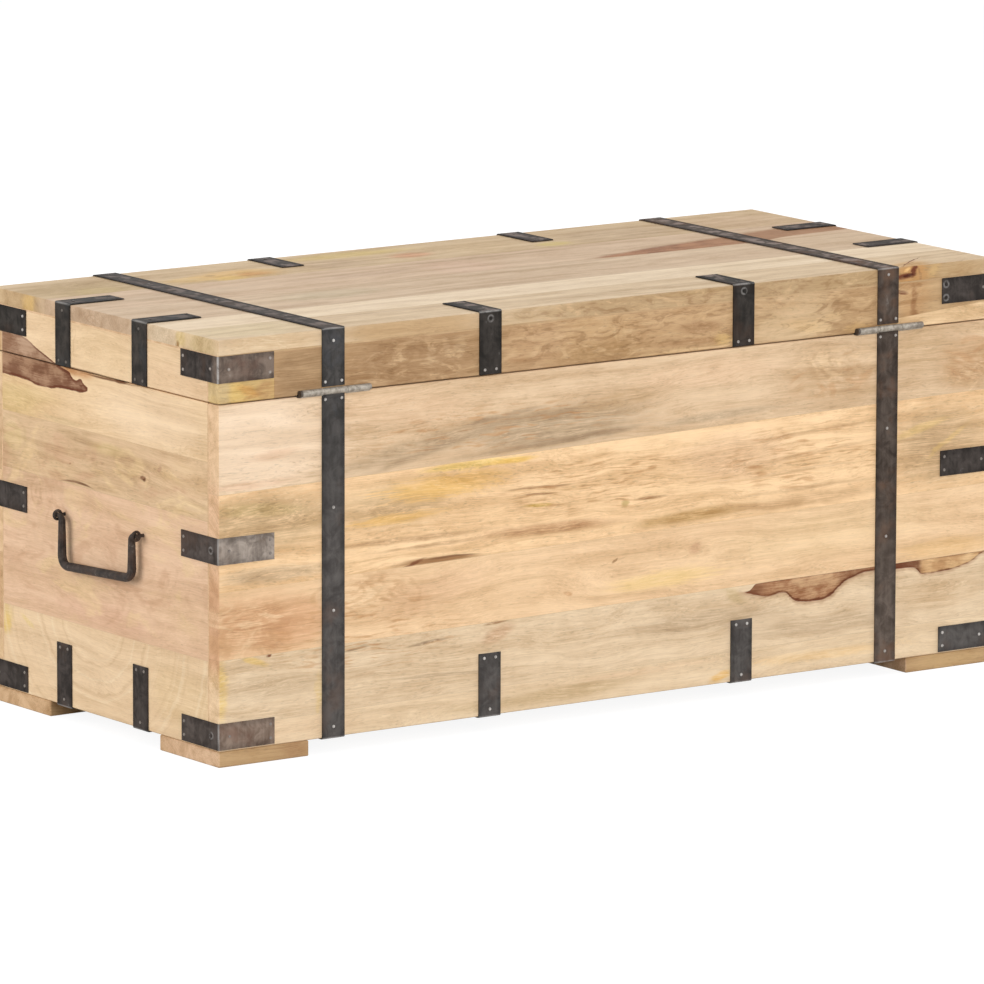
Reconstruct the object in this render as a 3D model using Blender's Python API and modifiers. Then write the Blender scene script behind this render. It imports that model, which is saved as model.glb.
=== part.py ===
"""Storage chest: a solid wood box on four low feet with a lid on two butt hinges, blackened
flat-iron straps, brackets and corner irons, and a drop handle at each end.

Metres, +Z up. The origin is on the floor under the middle of the wooden box. The chest's
length runs along X, the hinge side faces -Y and the opening side faces +Y.
"""

import math

import bmesh
import bpy
from mathutils import Matrix, Vector

# Driving sizes of the woodwork
LENGTH = 0.900
DEPTH = 0.390
HEIGHT = 0.400
LID_HEIGHT = 0.060
LID_PANEL_THICKNESS = 0.015
WALL_THICKNESS = 0.017
BOTTOM_THICKNESS = 0.012
FOOT_HEIGHT = 0.015
FOOT_SIDE = 0.100
WOOD_EDGE_RADIUS = 0.0008

# Gaps between neighbours
SEAM_GAP = 0.0012
SEAT_GAP = 0.0003
OVERRUN = 0.004
WELD_DISTANCE = 0.00002

# Flat iron, the same strip for every strap, bracket and corner iron
IRON_WIDTH = 0.025
IRON_THICKNESS = 0.001
IRON_INNER_BEND = 0.0006
BRACKET_LEG = 0.060
CORNER_LEG = 0.061
BEND_STEPS = 4

# Where the irons sit: the straps by their distance from the ends, the corner irons by their
# height, and the brackets as shares of the way from the middle of a side to where they would
# meet a foot, hand set as on the chest
STRAP_FROM_END = 0.127
MIDDLE_IRON_HEIGHT = 0.203
BOTTOM_IRON_RISE = 0.0015
LONG_SIDE_BRACKET_SHARES = (-0.431, 0.4435)
END_BRACKET_SHARES = (-0.773, 0.835)

# Nail heads on the irons
NAIL_RADIUS = 0.0020
NAIL_TOP_RADIUS = 0.0013
NAIL_HEIGHT = 0.0006
NAIL_SIDES = 6
NAIL_FROM_END = 0.0045
NAIL_FROM_SIDE = 0.0060
NAIL_FROM_BEND = 0.0110
BRACKET_NAIL_FROM_BEND = 0.0062
STRAP_NAIL_FROM_SIDE = 0.0033
STRAP_NAIL_FROM_TOP = {"left": 0.0110, "right": 0.0055}
STRAP_NAIL_FROM_BOTTOM = 0.010
STRAP_NAIL_SHARES = {"left": (0.330, 0.630), "right": (0.293, 0.620)}
STRAP_SPAN_NAIL_SHARES = (0.2, 0.5, 0.8)

# Butt hinges, let into the rims under the straps
HINGE_LENGTH = 0.079
KNUCKLE_RADIUS = 0.0031
KNUCKLE_GAP = 0.0004
KNUCKLE_COUNT = 3
KNUCKLE_SIDES = 24
HINGE_PIN_RADIUS = 0.0015
HINGE_PIN_CLEARANCE = 0.0002
HINGE_PIN_SIDES = 16
LEAF_THICKNESS = 0.0010
LEAF_DEPTH = 0.0145
LEAF_GAP = 0.0003
KNUCKLE_OFF_WOOD = 0.0005
KNUCKLE_SINK = 0.0003
STRAP_OFF_KNUCKLE = 0.0007

# Drop handles: a forged bail whose ends turn outwards through two eyes driven into the wall
HANDLE_HEIGHT = 0.1994
HANDLE_SPAN = 0.121
HANDLE_DROP = 0.0443
HANDLE_GRIP_TILT = 0.0031
HANDLE_STANDOFF = 0.008
BAIL_RADIUS = 0.0042
BAIL_SHOULDER_RADIUS = 0.0034
BAIL_END_RADIUS = 0.0022
BAIL_CORNER_RADIUS = 0.010
BAIL_TOP_BEND_RADIUS = 0.004
BAIL_END_PAST_EYE = 0.001
BAIL_STEPS = 6
TAPER_STEPS = 3
BAIL_BEVEL_RESOLUTION = 3
EYE_RING_RADIUS = 0.0040
EYE_WIRE_RADIUS = 0.0015
EYE_FROM_LEG = 0.0075
EYE_RING_SEGMENTS = 18
EYE_WIRE_SEGMENTS = 8
SHANK_RADIUS = 0.0016
SHANK_IN_WALL = 0.012
SHANK_CLEARANCE = 0.0003
SHANK_SIDES = 12

# Colour, roughness and metallic value of each finish
FINISHES = {
    "pale_wood": ((0.78, 0.60, 0.40), 0.55, 0.0),
    "tan_wood": ((0.66, 0.49, 0.32), 0.55, 0.0),
    "black_iron": ((0.055, 0.05, 0.048), 0.45, 0.8),
    "bright_steel": ((0.55, 0.54, 0.52), 0.35, 1.0),
}

# Levels and places that several pieces share
SEAM_Z = HEIGHT - LID_HEIGHT
BOX_RIM_Z = SEAM_Z - SEAM_GAP / 2
LID_RIM_Z = SEAM_Z + SEAM_GAP / 2
PANEL_UNDERSIDE_Z = HEIGHT - LID_PANEL_THICKNESS
HALF_LENGTH = LENGTH / 2
HALF_DEPTH = DEPTH / 2
IRON_REACH = SEAT_GAP + IRON_THICKNESS
LOWER_LEAF_TOP_Z = SEAM_Z - LEAF_GAP / 2
UPPER_LEAF_BOTTOM_Z = SEAM_Z + LEAF_GAP / 2
HINGE_Z = LOWER_LEAF_TOP_Z - KNUCKLE_SINK + KNUCKLE_RADIUS
HINGE_Y = -HALF_DEPTH - KNUCKLE_OFF_WOOD - KNUCKLE_RADIUS
HANDLE_X = HALF_LENGTH + HANDLE_STANDOFF

# Signs of the chest's ends and long sides
ENDS = {"left": -1, "right": 1}
SIDES = {"hinge_side": -1, "opening_side": 1}

# Which local axes an outline's width, height and thickness take in the chest
OUTLINE_ALONG_X = Matrix(((0, 0, 1), (1, 0, 0), (0, 1, 0))).to_4x4()
OUTLINE_ALONG_Y = Matrix(((1, 0, 0), (0, 0, -1), (0, 1, 0))).to_4x4()
OUTLINE_ALONG_Z = Matrix.Identity(4)


def clear_scene():
    for obj in list(bpy.data.objects):
        bpy.data.objects.remove(obj, do_unlink=True)


def new_collection(name, hidden=False):
    collection = bpy.data.collections.new(name)
    collection.hide_render = hidden
    bpy.context.scene.collection.children.link(collection)
    return collection


def finish_of(name, finish):
    """A material of the piece's own, in the named finish."""
    colour, roughness, metallic = FINISHES[finish]
    material = bpy.data.materials.new(f"{name}_{finish}")
    material.use_nodes = True
    shader = material.node_tree.nodes["Principled BSDF"]
    shader.inputs["Base Color"].default_value = (*colour, 1)
    shader.inputs["Roughness"].default_value = roughness
    shader.inputs["Metallic"].default_value = metallic
    return material


def axis_empty(name, location, parent=None):
    empty = bpy.data.objects.new(name, None)
    empty.location = location
    PARTS.objects.link(empty)
    attach(empty, parent)
    return empty


def attach(obj, parent):
    """Parents an object and leaves it where it is."""
    if parent is None:
        return
    bpy.context.view_layer.update()
    obj.parent = parent
    obj.matrix_parent_inverse = parent.matrix_world.inverted()


def add_part(name, mesh, matrix, finish, parent):
    obj = bpy.data.objects.new(name, mesh)
    mesh.materials.clear()
    mesh.materials.append(finish_of(name, finish))
    PARTS.objects.link(obj)
    obj.matrix_world = matrix
    attach(obj, parent)
    return obj


def add_cutter(name, mesh, matrix):
    obj = bpy.data.objects.new(name, mesh)
    obj.hide_render = True
    obj.display_type = "WIRE"
    CUTTERS.objects.link(obj)
    obj.matrix_world = matrix
    return obj


def add_boolean(obj, operation, other):
    modifier = obj.modifiers.new(other.name, "BOOLEAN")
    modifier.operation = operation
    modifier.solver = "EXACT"
    modifier.object = other
    return modifier


def mesh_from(name, build):
    """A mesh from a function that fills a bmesh."""
    work = bmesh.new()
    build(work)
    bmesh.ops.recalc_face_normals(work, faces=work.faces)
    mesh = bpy.data.meshes.new(name)
    work.to_mesh(mesh)
    work.free()
    return mesh


def add_box(work, low, high):
    low, high = Vector(low), Vector(high)
    place = Matrix.Translation((low + high) / 2) @ Matrix.Diagonal((*(high - low), 1))
    bmesh.ops.create_cube(work, size=1, matrix=place)


def add_cylinder(work, start, along, radius, end_radius, sides):
    """A cylinder or a frustum from start, as long as the vector along."""
    along = Vector(along)
    turn = Vector((0, 0, 1)).rotation_difference(along).to_matrix().to_4x4()
    place = Matrix.Translation(Vector(start) + along / 2) @ turn
    bmesh.ops.create_cone(
        work,
        cap_ends=True,
        segments=sides,
        radius1=radius,
        radius2=end_radius,
        depth=along.length,
        matrix=place,
    )


def wood_piece(name, low, high, finish, parent):
    """A plain board or glued-up panel, with its arrises eased."""
    low, high = Vector(low), Vector(high)
    middle = (low + high) / 2
    mesh = mesh_from(name, lambda work: add_box(work, low - middle, high - middle))
    obj = add_part(name, mesh, Matrix.Translation(middle), finish, parent)
    bevel = obj.modifiers.new("eased_arrises", "BEVEL")
    bevel.width = WOOD_EDGE_RADIUS
    bevel.segments = 1
    return obj


def perpendicular(direction):
    return Vector((-direction.y, direction.x))


def strip_outline(path):
    """The closed outline of a flat strip bent round convex corners. The path follows the strip's
    inner face, and the strip lies on the outer side of it."""
    path = [Vector(point) for point in path]
    runs = [(b - a).normalized() for a, b in zip(path, path[1:])]
    side = -math.copysign(1, runs[0].cross(runs[1]))
    normals = [perpendicular(run) * side for run in runs]
    inner, outer = [path[0]], [path[0] + normals[0] * IRON_THICKNESS]
    for corner, before, after in zip(path[1:-1], normals, normals[1:]):
        centre = corner - (before + after) * IRON_INNER_BEND
        for step in range(BEND_STEPS + 1):
            turn = math.pi / 2 * step / BEND_STEPS
            spoke = before * math.cos(turn) + after * math.sin(turn)
            inner.append(centre + spoke * IRON_INNER_BEND)
            outer.append(centre + spoke * (IRON_INNER_BEND + IRON_THICKNESS))
    inner.append(path[-1])
    outer.append(path[-1] + normals[-1] * IRON_THICKNESS)
    return inner + outer[::-1]


def extruded_outline(name, points, width):
    """A flat outline made into a mesh of the given width, through a filled 2D curve."""
    curve = bpy.data.curves.new(name, "CURVE")
    curve.dimensions = "2D"
    curve.fill_mode = "BOTH"
    curve.extrude = width / 2
    spline = curve.splines.new("POLY")
    spline.points.add(len(points) - 1)
    for target, point in zip(spline.points, points):
        target.co = (point.x, point.y, 0, 1)
    spline.use_cyclic_u = True
    holder = bpy.data.objects.new(name, curve)
    CUTTERS.objects.link(holder)
    graph = bpy.context.evaluated_depsgraph_get()
    mesh = bpy.data.meshes.new_from_object(holder.evaluated_get(graph))
    bpy.data.objects.remove(holder)
    work = bmesh.new()
    work.from_mesh(mesh)
    bmesh.ops.remove_doubles(work, verts=work.verts, dist=WELD_DISTANCE)
    bmesh.ops.recalc_face_normals(work, faces=work.faces)
    work.to_mesh(mesh)
    work.free()
    return mesh


def nail_heads(name, places):
    """Low hexagonal heads, each from a point on the iron's outer face and that face's normal."""

    def build(work):
        for point, normal in places:
            start = Vector(point) - Vector(normal) * IRON_THICKNESS / 2
            along = Vector(normal) * (IRON_THICKNESS / 2 + NAIL_HEIGHT)
            add_cylinder(work, start, along, NAIL_RADIUS, NAIL_TOP_RADIUS, NAIL_SIDES)

    return add_cutter(f"{name}_nails", mesh_from(f"{name}_nails", build), Matrix.Identity(4))


def iron_piece(name, path, plane, place, nails, parent):
    """A bent flat iron with its nail heads joined on. The path is in the plane's own axes."""
    mesh = extruded_outline(name, strip_outline(path), IRON_WIDTH)
    obj = add_part(name, mesh, Matrix.Translation(place) @ plane, "black_iron", parent)
    add_boolean(obj, "UNION", nail_heads(name, nails))
    return obj


def leg_nails(corner, along, across, normal, leg, from_bend=NAIL_FROM_BEND):
    """Three nails on one leg of an iron: one near the bend and two side by side at its end.
    The corner is the point on the leg's outer face where the leg's middle line meets the bend."""
    corner, along, across = Vector(corner), Vector(along), Vector(across)
    spread = IRON_WIDTH / 2 - NAIL_FROM_SIDE
    tip = corner + along * (leg - NAIL_FROM_END)
    spots = [corner + along * from_bend, tip + across * spread, tip - across * spread]
    return [(spot, normal) for spot in spots]


def bracket(name, side_axis, sign, offset, level, leg_up, side_leg, parent):
    """An L of flat iron over the edge where a side face meets the top or the bottom. The side
    faces along the axis "X" or "Y" with the sign, the offset is the bracket's place along the
    edge, the level is the height of the face that the other leg lies on, and leg_up is 1 where
    the side leg rises from that edge and -1 where it hangs."""
    half = HALF_LENGTH if side_axis == "X" else HALF_DEPTH
    face = sign * (half + SEAT_GAP)
    flat = level - leg_up * SEAT_GAP
    path = [(face, level + leg_up * side_leg), (face, flat), (sign * (half - BRACKET_LEG), flat)]
    outer, outer_flat = sign * (half + IRON_REACH), level - leg_up * IRON_REACH
    up, flat_normal = (0, 0, leg_up), (0, 0, -leg_up)
    if side_axis == "X":
        plane, place, across, normal = OUTLINE_ALONG_Y, (0, offset, 0), (0, 1, 0), (sign, 0, 0)
        side_corner = (outer, offset, level)
        flat_corner = (sign * half, offset, outer_flat)
        inward = (-sign, 0, 0)
    else:
        plane, place, across, normal = OUTLINE_ALONG_X, (offset, 0, 0), (1, 0, 0), (0, sign, 0)
        side_corner = (offset, outer, level)
        flat_corner = (offset, sign * half, outer_flat)
        inward = (0, -sign, 0)
    nails = leg_nails(side_corner, up, across, normal, side_leg, BRACKET_NAIL_FROM_BEND)
    nails += leg_nails(flat_corner, inward, across, flat_normal, BRACKET_LEG)
    return iron_piece(name, path, plane, place, nails, parent)


def corner_iron(name, x_sign, y_sign, height, parent):
    """An L of flat iron lying level round one upright corner."""
    x_face, y_face = x_sign * (HALF_LENGTH + SEAT_GAP), y_sign * (HALF_DEPTH + SEAT_GAP)
    path = [
        (x_sign * (HALF_LENGTH - CORNER_LEG), y_face),
        (x_face, y_face),
        (x_face, y_sign * (HALF_DEPTH - CORNER_LEG)),
    ]
    long_corner = (x_sign * HALF_LENGTH, y_sign * (HALF_DEPTH + IRON_REACH), height)
    end_corner = (x_sign * (HALF_LENGTH + IRON_REACH), y_sign * HALF_DEPTH, height)
    up = (0, 0, 1)
    nails = leg_nails(long_corner, (-x_sign, 0, 0), up, (0, y_sign, 0), CORNER_LEG)
    nails += leg_nails(end_corner, (0, -y_sign, 0), up, (x_sign, 0, 0), CORNER_LEG)
    return iron_piece(name, path, OUTLINE_ALONG_Z, (0, 0, height), nails, parent)


def make_box_woodwork():
    """The four walls, with the end walls let between the long ones, the bottom and the feet."""
    for side, sign in SIDES.items():
        outer, inner = sign * HALF_DEPTH, sign * (HALF_DEPTH - WALL_THICKNESS)
        low = (-HALF_LENGTH, min(outer, inner), FOOT_HEIGHT)
        high = (HALF_LENGTH, max(outer, inner), BOX_RIM_Z)
        wood_piece(f"{side}_wall", low, high, "pale_wood", CHEST)
    between = HALF_DEPTH - WALL_THICKNESS - SEAT_GAP
    for end, sign in ENDS.items():
        outer, inner = sign * HALF_LENGTH, sign * (HALF_LENGTH - WALL_THICKNESS)
        low = (min(outer, inner), -between, FOOT_HEIGHT)
        high = (max(outer, inner), between, BOX_RIM_Z)
        wood_piece(f"{end}_end_wall", low, high, "pale_wood", CHEST)
    inside = HALF_LENGTH - WALL_THICKNESS - SEAT_GAP
    bottom_top = FOOT_HEIGHT + BOTTOM_THICKNESS
    wood_piece(
        "bottom_panel",
        (-inside, -between, FOOT_HEIGHT),
        (inside, between, bottom_top),
        "tan_wood",
        CHEST,
    )
    for end, x_sign in ENDS.items():
        for side, y_sign in SIDES.items():
            xs = sorted((x_sign * HALF_LENGTH, x_sign * (HALF_LENGTH - FOOT_SIDE)))
            ys = sorted((y_sign * HALF_DEPTH, y_sign * (HALF_DEPTH - FOOT_SIDE)))
            top = FOOT_HEIGHT - SEAT_GAP
            low, high = (xs[0], ys[0], 0), (xs[1], ys[1], top)
            wood_piece(f"foot_{end}_{side}", low, high, "pale_wood", CHEST)


def make_lid_woodwork():
    """The lid's panel on a frame of four rails, built like the walls below it."""
    rail_top = PANEL_UNDERSIDE_Z - SEAT_GAP
    for side, sign in SIDES.items():
        outer, inner = sign * HALF_DEPTH, sign * (HALF_DEPTH - WALL_THICKNESS)
        low = (-HALF_LENGTH, min(outer, inner), LID_RIM_Z)
        high = (HALF_LENGTH, max(outer, inner), rail_top)
        wood_piece(f"lid_rail_{side}", low, high, "tan_wood", LID_AXIS)
    between = HALF_DEPTH - WALL_THICKNESS - SEAT_GAP
    for end, sign in ENDS.items():
        outer, inner = sign * HALF_LENGTH, sign * (HALF_LENGTH - WALL_THICKNESS)
        low = (min(outer, inner), -between, LID_RIM_Z)
        high = (max(outer, inner), between, rail_top)
        wood_piece(f"lid_rail_{end}_end", low, high, "pale_wood", LID_AXIS)
    low = (-HALF_LENGTH, -HALF_DEPTH, PANEL_UNDERSIDE_Z)
    wood_piece("lid_panel", low, (HALF_LENGTH, HALF_DEPTH, HEIGHT), "pale_wood", LID_AXIS)


def strap_x(end):
    return ENDS[end] * (HALF_LENGTH - STRAP_FROM_END)


def paired_nails(x, y, z, normal):
    spread = IRON_WIDTH / 2 - STRAP_NAIL_FROM_SIDE
    return [((x + turn * spread, y, z), normal) for turn in (-1, 1)]


def make_lid_strap(end):
    """A strap from the seam on the hinge side, over the lid, to the seam on the other side."""
    x = strap_x(end)
    back_end = HINGE_Z + KNUCKLE_RADIUS + STRAP_OFF_KNUCKLE
    front_end = LID_RIM_Z + SEAT_GAP
    top = HEIGHT + SEAT_GAP
    face = HALF_DEPTH + SEAT_GAP
    path = [(-face, back_end), (-face, top), (face, top), (face, front_end)]
    outer_y, outer_top = HALF_DEPTH + IRON_REACH, HEIGHT + IRON_REACH
    nails = []
    for sign, lower_end in ((-1, back_end), (1, front_end)):
        normal = (0, sign, 0)
        nails.append(((x, sign * outer_y, HEIGHT - STRAP_NAIL_FROM_TOP[end]), normal))
        nails += paired_nails(x, sign * outer_y, lower_end + NAIL_FROM_END, normal)
    for share in STRAP_SPAN_NAIL_SHARES:
        nails.append(((x, -HALF_DEPTH + DEPTH * share, outer_top), (0, 0, 1)))
    iron_piece(f"lid_strap_{end}", path, OUTLINE_ALONG_X, (x, 0, 0), nails, LID_AXIS)


def make_box_strap(end):
    """A strap from the seam on the hinge side, under the bottom, to the seam opposite."""
    x = strap_x(end)
    upper_end = BOX_RIM_Z - SEAT_GAP
    under = FOOT_HEIGHT - SEAT_GAP
    face = HALF_DEPTH + SEAT_GAP
    path = [(-face, upper_end), (-face, under), (face, under), (face, upper_end)]
    outer_y, outer_under = HALF_DEPTH + IRON_REACH, FOOT_HEIGHT - IRON_REACH
    nails = []
    for sign in SIDES.values():
        normal = (0, sign, 0)
        nails += paired_nails(x, sign * outer_y, upper_end - NAIL_FROM_END, normal)
        for share in STRAP_NAIL_SHARES[end]:
            height = BOX_RIM_Z - (BOX_RIM_Z - FOOT_HEIGHT) * share
            nails.append(((x, sign * outer_y, height), normal))
        nails.append(((x, sign * outer_y, FOOT_HEIGHT + STRAP_NAIL_FROM_BOTTOM), normal))
    for share in STRAP_SPAN_NAIL_SHARES:
        nails.append(((x, -HALF_DEPTH + DEPTH * share, outer_under), (0, 0, -1)))
    iron_piece(f"box_strap_{end}", path, OUTLINE_ALONG_X, (x, 0, 0), nails, CHEST)


def make_brackets():
    """Brackets over the lid's edges and under the box's, two to each side, in line. Those
    under the box keep between the feet."""
    lid_leg = HEIGHT - LID_RIM_Z - SEAT_GAP
    beside_foot = FOOT_SIDE + SEAT_GAP + IRON_WIDTH / 2
    for side, sign in SIDES.items():
        for end, share in zip(ENDS, LONG_SIDE_BRACKET_SHARES):
            x, tag = (HALF_LENGTH - beside_foot) * share, f"{side}_{end}"
            bracket(f"lid_bracket_{tag}", "Y", sign, x, HEIGHT, -1, lid_leg, LID_AXIS)
            bracket(f"box_bracket_{tag}", "Y", sign, x, FOOT_HEIGHT, 1, BRACKET_LEG, CHEST)
    for end, sign in ENDS.items():
        for side, share in zip(SIDES, END_BRACKET_SHARES):
            y, tag = (HALF_DEPTH - beside_foot) * share, f"{end}_end_{side}"
            bracket(f"lid_bracket_{tag}", "X", sign, y, HEIGHT, -1, lid_leg, LID_AXIS)
            bracket(f"box_bracket_{tag}", "X", sign, y, FOOT_HEIGHT, 1, BRACKET_LEG, CHEST)


def make_corner_irons():
    lid_height = PANEL_UNDERSIDE_Z - IRON_WIDTH / 2
    bottom_height = FOOT_HEIGHT + BOTTOM_IRON_RISE + IRON_WIDTH / 2
    for end, x_sign in ENDS.items():
        for side, y_sign in SIDES.items():
            tag = f"{end}_{side}"
            corner_iron(f"lid_corner_iron_{tag}", x_sign, y_sign, lid_height, LID_AXIS)
            corner_iron(f"middle_corner_iron_{tag}", x_sign, y_sign, MIDDLE_IRON_HEIGHT, CHEST)
            corner_iron(f"bottom_corner_iron_{tag}", x_sign, y_sign, bottom_height, CHEST)


def knuckle_span(index):
    """The start and end of one knuckle along the hinge, measured from its middle."""
    pitch = HINGE_LENGTH / KNUCKLE_COUNT
    start = -HINGE_LENGTH / 2 + pitch * index
    before = KNUCKLE_GAP / 2 if index > 0 else 0
    after = KNUCKLE_GAP / 2 if index < KNUCKLE_COUNT - 1 else 0
    return start + before, start + pitch - after


def make_leaf(name, x, knuckles, leaf_bottom, finish, parent):
    """One leaf of a butt hinge: a plate on the rim, with tongues out to its knuckles."""
    leaf_top = leaf_bottom + LEAF_THICKNESS
    half = HINGE_LENGTH / 2
    front, back = -HALF_DEPTH, -HALF_DEPTH + LEAF_DEPTH

    def plate(work):
        add_box(work, (-half, front, leaf_bottom), (half, back, leaf_top))

    def barrel(work):
        for index in knuckles:
            start, end = knuckle_span(index)
            along = (end - start, 0, 0)
            centre = (start, HINGE_Y, HINGE_Z)
            add_cylinder(work, centre, along, KNUCKLE_RADIUS, KNUCKLE_RADIUS, KNUCKLE_SIDES)

    def tongues(work):
        for index in knuckles:
            start, end = knuckle_span(index)
            reach = front + LEAF_THICKNESS
            add_box(work, (start, HINGE_Y, leaf_bottom), (end, reach, leaf_top))

    def bore(work):
        radius = HINGE_PIN_RADIUS + HINGE_PIN_CLEARANCE
        start = (-half - OVERRUN, HINGE_Y, HINGE_Z)
        along = (HINGE_LENGTH + OVERRUN * 2, 0, 0)
        add_cylinder(work, start, along, radius, radius, KNUCKLE_SIDES)

    place = Matrix.Translation((x, 0, 0))
    leaf = add_part(name, mesh_from(name, plate), place, finish, parent)
    for kind, build, operation in (
        ("tongues", tongues, "UNION"),
        ("barrel", barrel, "UNION"),
        ("bore", bore, "DIFFERENCE"),
    ):
        tool = add_cutter(f"{name}_{kind}", mesh_from(f"{name}_{kind}", build), place)
        add_boolean(leaf, operation, tool)
    return leaf


def cut_mortise(wood, end, low_z, high_z):
    """A shallow recess in a rim that takes one hinge leaf with its clearance."""
    half = HINGE_LENGTH / 2 + SEAT_GAP
    low = (-half, -HALF_DEPTH - OVERRUN, low_z)
    high = (half, -HALF_DEPTH + LEAF_DEPTH + SEAT_GAP, high_z)
    name = f"{wood.name}_mortise_{end}"
    mesh = mesh_from(name, lambda work: add_box(work, low, high))
    place = Matrix.Translation((strap_x(end), 0, 0))
    add_boolean(wood, "DIFFERENCE", add_cutter(name, mesh, place))


def make_hinge(end):
    """A three-knuckle butt hinge: the outer knuckles on the box, the middle one on the lid."""
    x = strap_x(end)
    outer = [index for index in range(KNUCKLE_COUNT) if index % 2 == 0]
    middle = [index for index in range(KNUCKLE_COUNT) if index % 2 == 1]
    lower_bottom = LOWER_LEAF_TOP_Z - LEAF_THICKNESS
    make_leaf(f"hinge_{end}_lower_leaf", x, outer, lower_bottom, "bright_steel", CHEST)
    upper = UPPER_LEAF_BOTTOM_Z
    make_leaf(f"hinge_{end}_upper_leaf", x, middle, upper, "bright_steel", LID_AXIS)
    wall = bpy.data.objects["hinge_side_wall"]
    cut_mortise(wall, end, lower_bottom - SEAT_GAP, BOX_RIM_Z + OVERRUN)
    rail = bpy.data.objects["lid_rail_hinge_side"]
    cut_mortise(rail, end, LID_RIM_Z - OVERRUN, upper + LEAF_THICKNESS + SEAT_GAP)
    name = f"hinge_{end}_pin"
    half = HINGE_LENGTH / 2

    def pin(work):
        radius = HINGE_PIN_RADIUS
        along = (HINGE_LENGTH, 0, 0)
        add_cylinder(work, (-half, 0, 0), along, radius, radius, HINGE_PIN_SIDES)

    place = Matrix.Translation((x, HINGE_Y, HINGE_Z))
    add_part(name, mesh_from(name, pin), place, "bright_steel", CHEST)


def arc(centre, radius, start, end, steps):
    """Points along an arc in the bail's plane, the angles in degrees from +Y towards +Z."""
    points = []
    for step in range(steps + 1):
        angle = math.radians(start + (end - start) * step / steps)
        spoke = Vector((math.cos(angle), math.sin(angle))) * radius
        points.append(Vector(centre) + spoke)
    return points


def bail_half():
    """Centre line and radius of half a bail, from the middle of its grip up one leg and out
    through the eye, measured from the pivot line: (y, z, radius). The leg is forged thinner
    towards its shoulder, and thinner still round the bend into the eye."""
    leg = HANDLE_SPAN / 2
    corner = BAIL_CORNER_RADIUS
    bend = BAIL_TOP_BEND_RADIUS
    tip = leg + EYE_FROM_LEG + EYE_WIRE_RADIUS + BAIL_END_PAST_EYE
    line = [(Vector((0, -HANDLE_DROP)), BAIL_RADIUS)]
    low_corner = (leg - corner, corner - HANDLE_DROP)
    line += [(point, BAIL_RADIUS) for point in arc(low_corner, corner, -90, 0, BAIL_STEPS)]
    leg_start, leg_end = corner - HANDLE_DROP, -bend
    for step in range(1, TAPER_STEPS + 1):
        share = step / TAPER_STEPS
        z = leg_start + (leg_end - leg_start) * share
        radius = BAIL_RADIUS + (BAIL_SHOULDER_RADIUS - BAIL_RADIUS) * share
        line.append((Vector((leg, z)), radius))
    top_bend = arc((leg + bend, leg_end), bend, 180, 90, BAIL_STEPS)
    for step, point in enumerate(top_bend[1:], start=1):
        share = step / BAIL_STEPS
        radius = BAIL_SHOULDER_RADIUS + (BAIL_END_RADIUS - BAIL_SHOULDER_RADIUS) * share
        line.append((point, radius))
    line.append((Vector((tip, 0)), BAIL_END_RADIUS))
    return [(point.x, point.y, radius) for point, radius in line]


def tilted(y, z):
    """Height below the pivot line of a bail whose leg on the hinge side is the shorter one."""
    return z * (1 + HANDLE_GRIP_TILT / HANDLE_DROP * y / (HANDLE_SPAN / 2))


def make_handle(end):
    """A bail and the two eyes it hangs in. The bail's origin is on its pivot line."""
    sign = ENDS[end]
    pivot = axis_empty(f"{end}_handle_axis", (sign * HANDLE_X, 0, HANDLE_HEIGHT), CHEST)
    half = bail_half()
    line = [(-y, z, radius) for y, z, radius in reversed(half[1:])] + half
    line = [(y, tilted(y, z), radius) for y, z, radius in line]
    curve = bpy.data.curves.new(f"{end}_handle_bail", "CURVE")
    curve.dimensions = "3D"
    curve.bevel_depth = BAIL_RADIUS
    curve.bevel_resolution = BAIL_BEVEL_RESOLUTION
    curve.use_fill_caps = True
    spline = curve.splines.new("POLY")
    spline.points.add(len(line) - 1)
    for target, (y, z, radius) in zip(spline.points, line):
        target.co = (0, y, z, 1)
        target.radius = radius / BAIL_RADIUS
    place = Matrix.Translation(pivot.location)
    add_part(f"{end}_handle_bail", curve, place, "black_iron", pivot)
    wall = bpy.data.objects[f"{end}_end_wall"]
    for side, y_sign in SIDES.items():
        make_eye(f"{end}_handle_eye_{side}", sign, y_sign, wall)


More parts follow.
